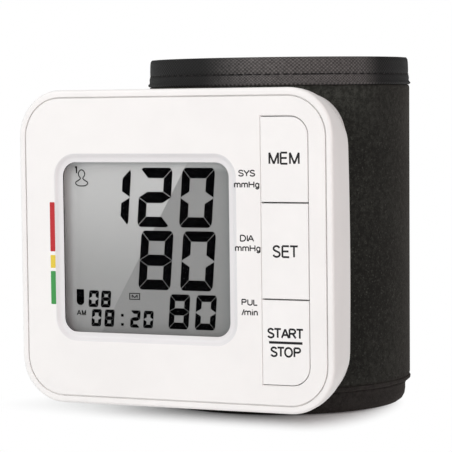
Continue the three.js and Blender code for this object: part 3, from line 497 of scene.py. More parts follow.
# %% Keys
KEYS = {
    "mem": (KEY_COLUMN / 2, SET_HEIGHT / 2, lambda x, z: x > 0 and z > 0),
    "set": (SET_HEIGHT / 2, -SET_HEIGHT / 2, lambda x, z: False),
    "start_stop": (-SET_HEIGHT / 2, -KEY_COLUMN / 2, lambda x, z: x > 0 and z < 0),
}
FLANGE, FLANGE_BACK, STEM_RADIUS, STEM_BACK, STEM_SUNK = 0.9, 2.7, 2, 3.5, 0.4


def key(name, top, bottom, chosen):
    bm = bmesh.new()
    top -= KEY_END_GAP if name == "mem" else KEY_SEPARATOR / 2
    bottom += KEY_END_GAP if name == "start_stop" else KEY_SEPARATOR / 2
    middle = (KEY_X - LEFT_SHIFT / 2, (top + bottom) / 2)
    size = (KEY_WIDTH - KEY_GAP + LEFT_SHIFT, top - bottom)
    corner = KEY_CORNER - KEY_GAP / 2
    loops = rounded_edge(bm, size, corner, SOFT_KEY, middle=middle, chosen=chosen, steps=3)
    loops.append(outline(bm, *size, corner, PANEL_SEAT - STEP, middle, chosen=chosen))
    for depth in (PANEL_SEAT, FLANGE_BACK):
        loops.append(
            outline(bm, size[0] + FLANGE * 2, size[1], corner + FLANGE, depth, middle, chosen=chosen)
        )
    capped(bm, loops)
    drum(bm, STEM_RADIUS, (FLANGE_BACK - STEM_SUNK, STEM_BACK), middle, steps=24)
    return settle(
        bm, name + "_key_cap", name + "_key", key_plastic, nodes=[name + "_button"]
    )


for name, (top, bottom, chosen) in KEYS.items():
    print(name, "key:", len(key(name, top, bottom, chosen).data.polygons), "faces")

# %% [markdown]
# ## Printed words and scale bars
# Key names and units are pad-printed in thin plain letters. Each letter is a few pen strokes in a box
# of one unit, and a word is fitted to the box that it fills on the real face. The strokes are flat
# tubes that stand a few hundredths of a millimetre proud, as ink does.

# %% Ink
INK_THICK, INK_SUNK = 0.03, 0.01


def ink(name, colour, roughness=0.5):
    finish = Finish(name, Specular_IOR_Level=0.15)
    speck = finish.grain(9000, 2)
    finish.shows(
        Base_Color=finish.mix(speck.rise(0.35, 0.75), colour, [c * 1.25 + 0.004 for c in colour]),
        Roughness=roughness + (speck - 0.5) * 0.2,
    )
    return finish.relief(speck, 0.000004)


dark_ink = ink("dark_ink", (0.012, 0.012, 0.013))
print("ink is", INK_THICK, "mm thick")


# %% Pen strokes
def arc(x, z, wide, high, start, end, steps=10):
    turns = [radians(start + (end - start) * i / steps) for i in range(steps + 1)]
    return [(x + wide * cos(turn), z + high * sin(turn)) for turn in turns]


def pen(bm, strokes, width, smooth=False):
    """Draws runs of (x, z) points as flattened tubes of ink. A smooth stroke is a closed curve."""
    curve = bpy.data.curves.new("strokes", "CURVE")
    curve.dimensions, curve.bevel_depth, curve.bevel_resolution = "3D", width / 2, 2
    curve.use_fill_caps = True
    for points in strokes:
        spline = curve.splines.new("BEZIER" if smooth else "POLY")
        knots = spline.bezier_points if smooth else spline.points
        knots.add(len(points) - 1)
        for knot, (x, z) in zip(knots, points):
            knot.co = (x, 0, z) if smooth else (x, 0, z, 1)
            if smooth:
                knot.handle_left_type = knot.handle_right_type = "AUTO"
        spline.use_cyclic_u = smooth
    drawn = bpy.data.objects.new("strokes", curve)
    scene.collection.objects.link(drawn)
    mesh = bpy.data.meshes.new_from_object(drawn.evaluated_get(bpy.context.evaluated_depsgraph_get()))
    bpy.data.objects.remove(drawn)
    mesh.transform(Matrix.Diagonal((1, INK_THICK / (width / 2), 1, 1)))
    bm.from_mesh(mesh)
    bpy.data.meshes.remove(mesh)


S_MIDDLE = [(0.2, 0.56), (0.42, 0.47)]
S_CURVE = arc(0.31, 0.755, 0.27, 0.245, 15, 200) + S_MIDDLE + arc(0.31, 0.25, 0.3, 0.25, 35, -165)
BOWL = [(0, 1), (0.38, 1)] + arc(0.38, 0.755, 0.24, 0.245, 90, -90) + [(0, 0.51)]
STEM = [(0, 0), (0, 1)]
LETTERS = {
    "M": [STEM, [(0, 1), (0.41, 0)], [(0.41, 0), (0.82, 1)], [(0.82, 1), (0.82, 0)]],
    "E": [STEM, [(0, 1), (0.6, 1)], [(0, 0.52), (0.56, 0.52)], [(0, 0), (0.62, 0)]],
    "S": [S_CURVE],
    "T": [[(0, 1), (0.7, 1)], [(0.35, 1), (0.35, 0)]],
    "A": [[(0, 0), (0.37, 1)], [(0.37, 1), (0.74, 0)], [(0.13, 0.34), (0.61, 0.34)]],
    "R": [STEM, BOWL, [(0.34, 0.51), (0.66, 0)]],
    "P": [STEM, BOWL],
    "O": [arc(0.38, 0.5, 0.38, 0.5, 0, 360, 24)],
    "D": [STEM, [(0, 1), (0.28, 1)] + arc(0.28, 0.5, 0.4, 0.5, 90, -90) + [(0, 0)]],
    "I": [STEM],
    "Y": [[(0, 1), (0.35, 0.45)], [(0.7, 1), (0.35, 0.45)], [(0.35, 0.45), (0.35, 0)]],
    "U": [[(0, 1)] + arc(0.32, 0.32, 0.32, 0.32, 180, 360) + [(0.64, 1)]],
    "L": [STEM, [(0, 0), (0.52, 0)]],
    "H": [STEM, [(0.68, 0), (0.68, 1)], [(0, 0.52), (0.68, 0.52)]],
    "m": [
        [(0, 0), (0, 0.72)],
        arc(0.2, 0.5, 0.2, 0.22, 180, 0) + [(0.4, 0)],
        arc(0.6, 0.5, 0.2, 0.22, 180, 0) + [(0.8, 0)],
    ],
    "n": [[(0, 0), (0, 0.72)], arc(0.21, 0.5, 0.21, 0.22, 180, 0) + [(0.42, 0)]],
    "i": [[(0, 0), (0, 0.72)], [(0, 0.9), (0, 1)]],
    "g": [
        arc(0.23, 0.36, 0.23, 0.36, 0, 360, 20),
        [(0.46, 0.72), (0.46, 0)] + arc(0.23, 0, 0.23, 0.26, 0, -155),
    ],
    "/": [[(0, 0), (0.3, 1)]],
    "1": [[(0.26, 0), (0.26, 1)], [(0.26, 1), (0, 0.8)]],
}
LETTER_SPACE, OPEN_SIDED, OPEN_SPACE = 0.24, "TAY/", 0.09
print("letters drawn:", "".join(LETTERS))


# %% Words
def word(bm, text, middle, size, width):
    """Writes a word that fills its box, with strokes of one width."""
    strokes, start = [], 0
    for letter, follower in zip(text, text[1:] + " "):
        strokes += [[(start + x, z) for x, z in stroke] for stroke in LETTERS[letter]]
        space = OPEN_SPACE if letter in OPEN_SIDED or follower in OPEN_SIDED else LETTER_SPACE
        start += max(x for stroke in LETTERS[letter] for x, _ in stroke) + space
    xs, zs = zip(*[point for stroke in strokes for point in stroke])
    spread_x = (size[0] - width) / max(max(xs) - min(xs), 0.001)
    spread_z = (size[1] - width) / (max(zs) - min(zs))
    left, low = middle[0] - (size[0] - width) / 2, middle[1] - (size[1] - width) / 2
    fitted = [
        [(left + (x - min(xs)) * spread_x, low + (z - min(zs)) * spread_z) for x, z in stroke]
        for stroke in strokes
    ]
    pen(bm, fitted, width)


def bar(bm, middle, size, corner=0.0):
    fill(bm, outline(bm, *size, corner, 0, middle, steps=4))


def thicken(bm, front, thick):
    """Moves a flat drawing to its depth and gives it its thickness."""
    flat = bm.faces[:]
    bmesh.ops.translate(bm, verts=bm.verts, vec=(0, front, 0))
    grown = bmesh.ops.extrude_face_region(bm, geom=flat)["geom"]
    bmesh.ops.translate(bm, verts=[g for g in grown if isinstance(g, bmesh.types.BMVert)], vec=(0, thick, 0))


def printed(name, body, words, bars=(), finish=dark_ink):
    bm = bmesh.new()
    for middle, size, *corner in bars:
        bar(bm, middle, size, *corner)
    thicken(bm, -INK_THICK, INK_THICK + INK_SUNK)
    for text, middle, size, width in words:
        word(bm, text, middle, size, width)
    return settle(bm, name, body, finish)


KEY_STROKE, UNIT_STROKE, SCALE_X, SCALE_WIDTH = 0.38, 0.25, -26.83, 1.1
printed("mem_word", "mem_key", [("MEM", (24.2, 17.9), (6.52, 2.5), KEY_STROKE)])
printed("set_word", "set_key", [("SET", (24.31, -0.04), (5.5, 2.48), KEY_STROKE)])
printed(
    "start_stop_words", "start_stop_key",
    [
        ("START", (24.12, -15.86), (7.7, 2.08), KEY_STROKE),
        ("STOP", (24.11, -19.46), (6.46, 2.08), KEY_STROKE),
    ],
    [((24.14, -17.65), (7.0, 0.48))],
)
UNITS = (
    ("SYS", (16.3, 15.0), (3.63, 1.35)), ("mmHg", (16.27, 12.67), (5.41, 1.64)),
    ("DIA", (16.22, 2.41), (3.04, 1.38)), ("mmHg", (16.34, 0.34), (5.44, 1.64)),
    ("PUL", (16.61, -10.02), (3.49, 1.3)), ("/min", (16.58, -11.98), (3.49, 1.32)),
)
printed("unit_words", "monitor", [(*unit, UNIT_STROKE) for unit in UNITS])
for name, colour, z, height in (
    ("red", (0.47, 0.03, 0.036), 4.06, 9.92),
    ("yellow", (0.71, 0.54, 0.064), -2.95, 2.61),
    ("green", (0.058, 0.29, 0.08), -8.23, 6.69),
):
    strip = ((SCALE_X, z), (SCALE_WIDTH, height), 0.12)
    printed("scale_" + name, "monitor", [], [strip], ink(name + "_ink", colour, 0.4))
print("words and bars are printed")

# %% [markdown]
# ## The display
# A clear lens is set behind the face plate and the liquid crystal glass lies under it. The marks of
# such a display are dark segments in the front of the glass, so they are drawn as thin plates there:
# a digit is a frame of seven strokes that meet in slanting slits. Its outer corners are rounded, and
# it leans a little.

# %% Segments of a digit
SEGMENTS = {
    "a": "l6 r6 j5 i5", "b": "r6 r3 j4 j5", "c": "r3 r0 j1 j2", "d": "l0 i1 j1 r0",
    "e": "l3 i2 i1 l0", "f": "l6 i5 i4 l3", "g": "l3 i4 j4 r3 j2 i2",
}
LIT = {"0": "abcdef", "1": "bc", "2": "abged", "8": "abcdefg"}
LEAN, BAR_SHARE, BEND_SHARES = 0.08, 0.54, (0.48, 0.72)


def digit(bm, sign, middle, size, stroke, slit):
    """One seven-segment digit. The strokes are (upright, level), and the slit parts the segments."""
    height = size[1]
    width = size[0] - LEAN * height
    upright, level = stroke
    columns = dict(zip("lijr", (0, upright, width - upright, width)))
    half = height / 2
    rows = (0, level, half - level * BAR_SHARE, half, half + level * BAR_SHARE, height - level, height)
    bend_x, bend_z = (upright * share for share in BEND_SHARES)
    for name in LIT[sign]:
        turns = [radians(turn + (0 if name in "ad" else 45)) for turn in (0, 15, 30, 45)]
        corners = []
        for column, row in SEGMENTS[name].split():
            x, z = columns[column] - width / 2, rows[int(row)] - half
            if column in "lr" and row in "06":
                corners += [
                    (x - math.copysign(bend_x * (1 - sin(t)), x), z - math.copysign(bend_z * (1 - cos(t)), z))
                    for t in turns
                ]
            else:
                corners.append((x, z))
        mid_x, mid_z = (sum(values) / len(corners) for values in zip(*corners))
        corners.sort(key=lambda corner: math.atan2(corner[1] - mid_z, corner[0] - mid_x))
        face = bm.faces.new([bm.verts.new((middle[0] + x + LEAN * z, 0, middle[1] + z)) for x, z in corners])
        face.normal_update()
        border = bmesh.ops.inset_region(
            bm, faces=[face], thickness=slit / 2, use_even_offset=True, use_boundary=True
        )["faces"]
        bmesh.ops.delete(bm, geom=border, context="FACES")


crystal = Finish("crystal_dark", Specular_IOR_Level=0.0)
haze = crystal.grain(2600, 2)
crystal.shows(
    Base_Color=crystal.mix(haze.rise(0.3, 0.8), (0.001, 0.001, 0.0012), (0.003, 0.003, 0.0035)),
    Roughness=0.42 + (haze - 0.5) * 0.1,
)
print("segments of an 8:", LIT["8"])

# %% Digits and small signs
BIG = (8.18, 11.9), (1.9, 2.16), 0.115
DIGIT_ROWS = (
    ("120", (-14.1, -4.9, 4.37), 10.03, *BIG),
    ("80", (-4.87, 4.4), -2.47, *BIG),
    ("80", (0.16, 5.97), -12.6, (5.05, 7.0), (1.26, 1.4), 0.09),
    ("08", (-19.03, -16.23), -10.5, (2.5, 3.42), (0.72, 0.74), 0.05),
    ("0820", (-18.44, -15.51, -9.66, -6.73), -14.33, (2.47, 3.5), (0.71, 0.74), 0.05),
)
COLON_X, COLON_HEIGHTS, COLON_DOT = -12.58, (-13.66, -15.5), (0.6, 0.58)
MARKS_FRONT, MARKS_THICK = 2.49, 0.04


def display_marks():
    bm = bmesh.new()
    for signs, places, z, size, stroke, slit in DIGIT_ROWS:
        for sign, x in zip(signs, places):
            digit(bm, sign, (x, z), size, stroke, slit)
    for z in COLON_HEIGHTS:
        bar(bm, (COLON_X, z), COLON_DOT, 0.2)
    thicken(bm, MARKS_FRONT, MARKS_THICK)
    return settle(bm, "display_digits", "monitor", crystal)


print("digits:", len(display_marks().data.polygons), "faces")


# %% Icons
WEARER = [
    (-0.3, -0.02), (-0.6, 0.45), (-0.71, 1.0), (0, 1.68), (0.71, 1.0), (0.6, 0.45), (0.3, -0.02),
    (0.72, -0.42), (1.38, -0.93), (1.07, -1.36), (0, -1.55), (-1.07, -1.36), (-1.38, -0.93), (-0.72, -0.42),
]
WEARER_PLACE, WEARER_NUMBER, MEMORY_PLACE = (-21.35, 13.78), (-22.64, 15.48), (-9.73, -9.78)
CHARGE_X, HALF_DAY_Z = -22.07, -13.39


def frame_face(bm, middle, size, thick):
    """A flat rectangular frame made of four bars."""
    x, z = middle
    for side in (-1, 1):
        bar(bm, (x, z + side * (size[1] - thick) / 2), (size[0], thick))
        bar(bm, (x + side * (size[0] - thick) / 2, z), (thick, size[1] - thick * 2))


def icons():
    bm = bmesh.new()
    bar(bm, (CHARGE_X, -10.0), (1.68, 2.7), 0.1)
    bar(bm, (CHARGE_X, -11.0), (1.68, 1.75), 0.8)
    frame_face(bm, MEMORY_PLACE, (2.38, 1.34), 0.15)
    thicken(bm, 0, MARKS_THICK)
    word(bm, "1", WEARER_NUMBER, (0.56, 1.66), 0.28)
    pen(bm, [[(x + WEARER_PLACE[0], z + WEARER_PLACE[1]) for x, z in WEARER]], 0.2, smooth=True)
    word(bm, "M", MEMORY_PLACE, (1.3, 0.72), 0.17)
    for letter, x, width in (("A", -22.42, 1.05), ("M", -21.32, 0.94)):
        word(bm, letter, (x, HALF_DAY_Z), (width, 1.16), 0.18)
    bmesh.ops.translate(bm, verts=bm.verts, vec=(0, MARKS_FRONT, 0))
    return settle(bm, "display_icons", "monitor", crystal)


print("icons:", len(icons().data.polygons), "faces")

# %% [markdown]
# ## Glass and lens
# The display's glass is a flat grey with a painted glare: a soft reflection, lighter towards the top,
# that ends in a slanting edge. Painted light brightens it along its top and left edges, against the
# lip's shadow. The lens over it has to let light through without the dark shadow that refracting
# glass would cast, so it mixes a clear shader with a glossy one by a Fresnel factor.

# %% Glass and lens
glass = Finish("display_glass", Coat_Weight=0.0)
gx, _, gz = glass.axes()
SLANT_X, SLANT_Z, SLANT_LOW = 2.3, 52.6, (-14.2, 23.9)
SHEEN_LOW, SHEEN_TALL = 0.0187, 0.0342
run = (SLANT_X - SLANT_LOW[0]) / (SLANT_Z - SLANT_LOW[1])
# Painted glare: a reflection painted into the glass's colour, lighter left of a slanting line and lighter
# towards the top.
glare_side_mask = ((SLANT_X * MM - gx) + (gz - SLANT_Z * MM) * run).rise(-0.00008, 0.00008)
height_share = (gz - SHEEN_LOW) / SHEEN_TALL
painted_sheen = height_share.rise(0.0, 1.0) ** 1.25
painted_glare_tone = glass.mix(painted_sheen, (0.325, 0.325, 0.322), (0.6, 0.6, 0.595))
dots = glass.grain(6000, 1)
from_top = (FACE_MIDDLE.z + WINDOW_HEIGHT / 2) * MM - gz
from_left = gx - (WINDOW_X - WINDOW_WIDTH / 2) * MM
# Painted light: the glass is brighter along its top and left edges, to thin the lip's shadow there.
painted_light_top = (1 - from_top.rise(-0.0002, 0.0022)) * 0.75
painted_light_left = (1 - from_left.rise(0.0, 0.0026)) * 0.75 * from_left.rise(-0.0015, -0.0008)
flat_grey = glass.mix(painted_sheen, (0.27, 0.27, 0.267), (0.3, 0.3, 0.297))
painted_light_tone = glass.mix(painted_sheen, (0.56, 0.565, 0.57), (0.94, 0.95, 0.95))
glass.shows(
    Base_Color=glass.mix(painted_light_top.larger(painted_light_left), glass.mix(glare_side_mask, flat_grey, painted_glare_tone), painted_light_tone),
    Roughness=0.5 + (dots - 0.5) * 0.15,
)
glass.relief(dots, 0.000003)


GLASS_MARGIN, LENS_MARGIN, GLASS_CORNER = 2.2, 1.2, 1.2


def display_plate(name, grow, corner, front, back, finish, node):
    bm = bmesh.new()
    size = (WINDOW_WIDTH + grow * 2, WINDOW_HEIGHT + grow * 2)
    loops = rounded_edge(bm, size, corner, SOFT_GLASS, depth=front, steps=2, middle=(WINDOW_X, 0))
    loops.append(outline(bm, *size, corner, back, (WINDOW_X, 0)))
    capped(bm, loops)
    return settle(bm, name, "monitor", finish, nodes=[node])


display_plate(
    "crystal_glass", GLASS_MARGIN, GLASS_CORNER, GLASS_FRONT, GLASS_BACK, glass, "lcd_glass"
)

STRAIGHT_SHINE, EDGE_SHINE = 0.0005, 0.12
lens = Finish("clear_lens", Roughness=0.06, Base_Color=(0.9, 0.92, 0.92, 1), Metallic=1.0)
clear = lens.node("ShaderNodeBsdfTransparent", values=[(0.97, 0.975, 0.975)])
edge_on = lens.node("ShaderNodeLayerWeight", values={"Blend": 0.12}, out="Fresnel")
mirror = Wire(lens, lens.surface.outputs[0])
both = lens.node("ShaderNodeMixShader", values=[STRAIGHT_SHINE + edge_on * EDGE_SHINE, clear, mirror])
lens.tree.links.new(both.socket, lens.tree.nodes["Material Output"].inputs["Surface"])
display_plate(
    "window_lens", LENS_MARGIN, WINDOW_CORNER, LENS_FRONT, LENS_BACK, lens, "display_lens"
)
print("display stack from", LENS_FRONT, "to", GLASS_BACK, "mm behind the face")

# %% [markdown]
# ## The back
# Behind the parting line the case tapers, ends in a soft edge and is hollowed to seat on the cuff.
# That is a loft of outlines, cut with Booleans: first the saddle, then the room inside, from which
# the screw posts and the battery tray are kept, and last the openings.


# %% Back shell
def tapered(bm, inset, front):
    """Outlines of the tapered back, drawn in by a given amount."""
    steps, edge, soft = 8, REAR_DEPTH - REAR_ROUND, REAR_ROUND - inset
    turns = [pi / 2 * i / steps for i in range(steps + 1)]
    depths = [(front, inset)] + [(edge + soft * sin(t), REAR_ROUND - soft * cos(t)) for t in turns]
    capped(bm, [outline(bm, *case_size(depth, shrink), depth) for depth, shrink in depths])
    slice_level(bm)
    for vert in bm.verts:
        width, height, _ = case_size(vert.co.y)
        vert.co.x += SIDE_BOW * (1 - (vert.co.z / height * 2) ** 2) * vert.co.x / width * 2
    bmesh.ops.recalc_face_normals(bm, faces=bm.faces)


def solid(draw, *args):
    """An object in millimetres, for cutting."""
    bm = bmesh.new()
    draw(bm, *args)
    bmesh.ops.recalc_face_normals(bm, faces=bm.faces)
    mesh = bpy.data.meshes.new("cutter")
    bm.to_mesh(mesh)
    bm.free()
    made = bpy.data.objects.new("cutter", mesh)
    scene.collection.objects.link(made)
    return made


def block(bm, x, depth, z):
    corners = bmesh.ops.create_cube(bm, size=1)["verts"]
    spans = [(hi - lo, (hi + lo) / 2) for lo, hi in (x, depth, z)]
    bmesh.ops.scale(bm, verts=corners, vec=[s for s, _ in spans])
    bmesh.ops.translate(bm, verts=corners, vec=[m for _, m in spans])


def carve(target, cutter, how="DIFFERENCE"):
    modifier = target.modifiers.new("carve", "BOOLEAN")
    modifier.operation, modifier.object, modifier.solver = how, cutter, "EXACT"
    done = bpy.data.meshes.new_from_object(target.evaluated_get(bpy.context.evaluated_depsgraph_get()))
    target.modifiers.clear()
    target.data = done
    bpy.data.objects.remove(cutter)
    return target


SADDLE_GAP, SADDLE_HALF, SADDLE_SIDES, OUTSIDE = 0.3, 45, 192, -60


def seat(bm, grow):
    radius = LOOP_RADIUS + SADDLE_GAP + grow
    drum(bm, radius, (-SADDLE_HALF, SADDLE_HALF), (LOOP_MIDDLE.x, LOOP_DEPTH), "Z", SADDLE_SIDES)


POSTS = [(x, z) for x in (-23, 15.7) for z in (27.1, -27.1)]
POST_RADIUS, HEAD_ROOM, SHANK_ROOM, POST_FLOOR = 3.3, 2.2, 1.3, 10.25
OPENING_RIGHT, TRAY_RIGHT, TRAY_HALF, TRAY_FLOOR = -15.5, -6.25, 24.25, (8.9, 9.9)
BACK = REAR_DEPTH + 1


def posts(bm, radius, front):
    for place in POSTS:
        drum(bm, radius, (front, BACK), place)


def lump(inset=0.0):
    """The whole back with its saddle, or the room inside it, a wall further in."""
    return carve(solid(tapered, inset, REAR_FRONT - (1 if inset else 0)), solid(seat, inset))


back_shell, room, door_skin = lump(), lump(WALL), carve(lump(), lump(WALL))
tray_block = solid(block, (OUTSIDE, TRAY_RIGHT), (TRAY_FLOOR[1], BACK), (-TRAY_HALF, TRAY_HALF))
tray_room = carve(lump(WALL), tray_block, "INTERSECT")
carve(room, solid(posts, POST_RADIUS, 0))
carve(room, solid(block, (OUTSIDE, TRAY_RIGHT + 1), (TRAY_FLOOR[0], BACK), (-TRAY_HALF - 1, TRAY_HALF + 1)))
carve(back_shell, room)
carve(back_shell, tray_room)
carve(back_shell, solid(block, (OUTSIDE, OPENING_RIGHT), (TRAY_FLOOR[1], BACK), (-TRAY_HALF, TRAY_HALF)))
carve(back_shell, solid(posts, HEAD_ROOM, POST_FLOOR))
carve(back_shell, solid(posts, SHANK_ROOM, 0))
print("back shell:", len(back_shell.data.polygons), "faces")


# %% Settling what was cut
CUT_MERGED, CUT_SLIVER, CUT_SHARP = 0.004, 0.002, 28


def settle_cut(cut, name, body, finish, nodes, extra=None):
    bm = bmesh.new()
    bm.from_mesh(cut.data)
    bpy.data.objects.remove(cut)
    bmesh.ops.remove_doubles(bm, verts=bm.verts, dist=CUT_MERGED)
    bmesh.ops.dissolve_degenerate(bm, edges=bm.edges, dist=CUT_SLIVER)
    if extra:
        extra(bm)
    return settle(bm, name, body, finish, nodes=nodes, sharp=CUT_SHARP)


settle_cut(back_shell, "back_shell", "monitor", white_plastic, ["rear_case"])

# %% [markdown]
# ## The battery door
# The door is the left part of the same skin, parted by a thin slit. It slides to the left, so it has
# four raised ribs for the thumb, and two tongues that hold its inner edge under the fixed back.

# %% Battery door
DOOR_GAP, GRIPS, GRIP_PITCH, GRIP_RADIUS, GRIP_LENGTH = 0.3, 4, 2.2, 0.45, 16
TONGUE_Z, TONGUE_HALF, TONGUE_ROOT, TONGUE_REACH = 14, 2.5, 1.4, 1.9
TONGUE_FRONT, TONGUE_BACK, TONGUE_FOOT = 22.1, 22.8, 24.7
DOOR_FRONT, DOOR_EDGE = TRAY_FLOOR[1] + DOOR_GAP, OPENING_RIGHT - DOOR_GAP


def grips_and_tongues(bm):
    for i in range(GRIPS):
        depth = DOOR_FRONT + GRIP_PITCH * (i + 1)
        x = -(case_size(depth)[0] / 2 + SIDE_BOW)
        rib = bmesh.ops.create_uvsphere(bm, u_segments=16, v_segments=10, radius=GRIP_RADIUS)["verts"]
        for vert in rib:
            if abs(vert.co.z) > 0.01:
                vert.co.z += math.copysign(GRIP_LENGTH / 2 - GRIP_RADIUS, vert.co.z)
        bmesh.ops.translate(bm, verts=rib, vec=(x, depth, 0))
    for z in (-TONGUE_Z, TONGUE_Z):
        across = (z - TONGUE_HALF, z + TONGUE_HALF)
        block(bm, (DOOR_EDGE - TONGUE_ROOT, DOOR_EDGE + TONGUE_REACH), (TONGUE_FRONT, TONGUE_BACK), across)
        block(bm, (DOOR_EDGE - TONGUE_ROOT, DOOR_EDGE), (TONGUE_FRONT, TONGUE_FOOT), across)


carve(
    door_skin,
    solid(block, (OUTSIDE, DOOR_EDGE), (DOOR_FRONT, BACK), (-TRAY_HALF + DOOR_GAP, TRAY_HALF - DOOR_GAP)),
    "INTERSECT",
)
print("door box:", [tuple(round(v, 1) for v in b) for b in (door_skin.bound_box[0], door_skin.bound_box[6])])
settle_cut(
    door_skin, "battery_door_skin", "battery_door", white_plastic, ["battery_cover"],
    grips_and_tongues,
)

# %% [markdown]
# ## The fabric cuff
# The cuff is a springy plastic band in a sleeve of black loop fabric, hemmed along both rims with
# woven tape. It is turned like pottery: a closed profile of radius and height is spun about the
# loop's axis. A piece that spans a bend is left on no body.

# %% Spinning a profile
LOOP_STEP = 1.5
ARM_END, BASE_START, BACK_SEAM, HINGE = 70.0, 70.62, 160.0, -35.0
BEND_FROM, BEND_TO = HINGE - 15, HINGE + 15


def spun(bm, profile, start, end, step=LOOP_STEP):
    """Spins a closed profile of (radius, height) corners from one angle to another, and caps it."""
    ring = [bm.verts.new((radius, 0, height)) for radius, height in profile]
    edges = [bm.edges.new(pair) for pair in zip(ring, ring[1:] + ring[:1])]
    bmesh.ops.rotate(bm, verts=ring, cent=(0, 0, 0), matrix=Matrix.Rotation(radians(start), 3, "Z"))
    bmesh.ops.contextual_create(bm, geom=edges)
    made = bmesh.ops.spin(
        bm, geom=ring + edges, axis=(0, 0, 1), cent=(0, 0, 0), angle=radians(end - start),
        steps=max(2, round((end - start) / step)), use_merge=False, use_duplicate=False,
    )
    last = [g for g in made["geom_last"] if isinstance(g, bmesh.types.BMEdge)]
    bmesh.ops.contextual_create(bm, geom=last)


def cloth_map(bm, start, radius=LOOP_RADIUS):
    """A map in millimetres: along the loop, and up it (and on over the rim)."""
    layer = bm.loops.layers.uv.new("cloth")
    for face in bm.faces:
        middle = face.calc_center_median()
        turn = (math.degrees(math.atan2(middle.y, middle.x)) - start) % 360 + start
        for corner in face.loops:
            co = corner.vert.co
            own = math.degrees(math.atan2(co.y, co.x))
            own += 360 * round((turn - own) / 360)
            corner[layer].uv = (radians(own) * radius, co.z + radius - sqrt(co.x ** 2 + co.y ** 2))


print("the cuff bends from", BEND_FROM, "to", BEND_TO, "degrees")

# %% [markdown]
# ## Black fabrics
# The sleeve is a knitted loop pile: nearly black, mottled by the ends of its loops, with painted
# light that makes it a little lighter towards the top and a painted highlight high up in front. The
# upper hem is woven tape with a fine dotted rib and a painted highlight across its front, and the
# lower one is a plain cloth. What follows the cloth is drawn on the cuff's own map, which the pieces
# carry along when they bend.


# %% Fabrics
def painted_highlight_band(along):
    """Painted highlight: a band across the front of the cuff, by the distance along the loop, where the shine
    of the lamps falls.
    """
    return along.rise(-50.0, -37.0) * (1 - along.rise(-15.0, -8.0))


def fabric(name, low, high, fuzz=0.35, roughness=0.92, specks=1.7):
    """Loop pile: three sizes of mottling, in colour and in relief, with painted light towards the top and a
    painted highlight high up in front.
    """
    finish = Finish(
        name, Sheen_Weight=fuzz, Sheen_Roughness=0.6, Sheen_Tint=(1.0, 0.86, 0.76, 1), Specular_IOR_Level=0.15
    )
    loops = finish.grain(3600, 3)
    clumps = finish.grain(1000, 2)
    broad = finish.grain(60, 2)
    # Painted light: the last term makes the pile a little lighter towards the top, where more light falls.
    share = loops * 0.42 + clumps * 0.5 + broad * 0.3 - 0.11 + finish.axes()[2].rise(0.04, 0.066) * 0.06
    ends = finish.grain(2200, 1).rise(0.56, 0.8)
    along, up = finish.cloth()
    mottled = finish.mix(ends, finish.mix(share.rise(0.4, 0.7), low, high), [c * specks for c in high])
    # Painted highlight: lit copies of the pile colours, high up in front.
    painted_lit_pile = finish.mix(share.rise(0.42, 0.72), [c * 2.2 for c in low], [c * 2.1 for c in high])
    finish.shows(
        Base_Color=finish.mix(painted_highlight_band(along) * up.rise(57.0, 67.0) * 0.8, mottled, painted_lit_pile),
        Roughness=roughness + (loops - 0.5) * 0.1,
    )
    return finish.relief(loops * 0.7 + clumps * 0.3, 0.00012)


pile = fabric("loop_pile", (0.0068, 0.0074, 0.0063), (0.0275, 0.029, 0.0253), 0.05)


DOT_PITCH, RIB_PITCH, SEAM_PITCH, SEAM_BAND = (0.86, 0.76), (0.66, 0.6), 1.9, (0.02, 0.36)


def hem_weave(name, dark, pale, ribs):
    """Woven tape: diamonds of raised dots, finer in a strip between two heights. Colours in pairs; the second
    pair is a painted highlight across the front.
    """
    finish = Finish(name, Specular_IOR_Level=0.2)
    along, up = finish.cloth()
    dots = along.wave(DOT_PITCH[0]) * up.wave(DOT_PITCH[1])
    rib = along.wave(RIB_PITCH[0]) * up.wave(RIB_PITCH[1])
    strip = up.between(*ribs)
    height = (dots * (1 - strip) + rib * strip) * 0.5 + 0.5
    seam = up.between(ribs[1] + SEAM_BAND[0], ribs[1] + SEAM_BAND[1])
    gaps = along.wave(SEAM_PITCH).rise(-0.1, 0.5)
    haze = finish.grain(1500, 2)
    share = height.rise(0.3, 0.85) * 0.6 + (finish.grain(2600, 2) + haze) * 0.7 - 0.5
    # Painted highlight: the second pair of colours, across the front of the hem.
    painted_highlight = painted_highlight_band(along)
    woven = finish.mix(share, *[finish.mix(painted_highlight, dark[k], pale[k]) for k in (0, 1)])
    finish.shows(
        Base_Color=finish.mix(seam * (0.9 - gaps * 0.8), woven, (0.003, 0.003, 0.003)),
        Roughness=0.66 - painted_highlight * 0.2 + (haze - 0.5) * 0.2,
    )
    return finish.relief(height, 0.00009)


hem = hem_weave(
    "hem_tape", ((0.006, 0.006, 0.006), (0.015, 0.0145, 0.0145)),
    ((0.028, 0.0262, 0.0256), (0.155, 0.145, 0.142)),
    (68.5, 70.05),
)
hem_cloth = fabric("hem_cloth", (0.014, 0.0132, 0.0125), (0.031, 0.0292, 0.0275), 0.05, specks=1.1)
thread = fabric("thread", (0.006, 0.006, 0.007), (0.02, 0.02, 0.022), 0.1)
lining_cloth = fabric("lining_cloth", (0.018, 0.018, 0.02), (0.05, 0.05, 0.053))
print("fabrics:", pile.material.name, hem.material.name)

# %% Sleeve, hems and lining
SLEEVE_LOW, SLEEVE_HIGH, SLEEVE_THICK = 5.8, 67.65, 1.5
LINING_INNER, LINING_OUTER = 20.6, 23.0
LEAN_IN, TOP_SEAM = 0.35, (LOOP_RADIUS - 0.26, 69.95)


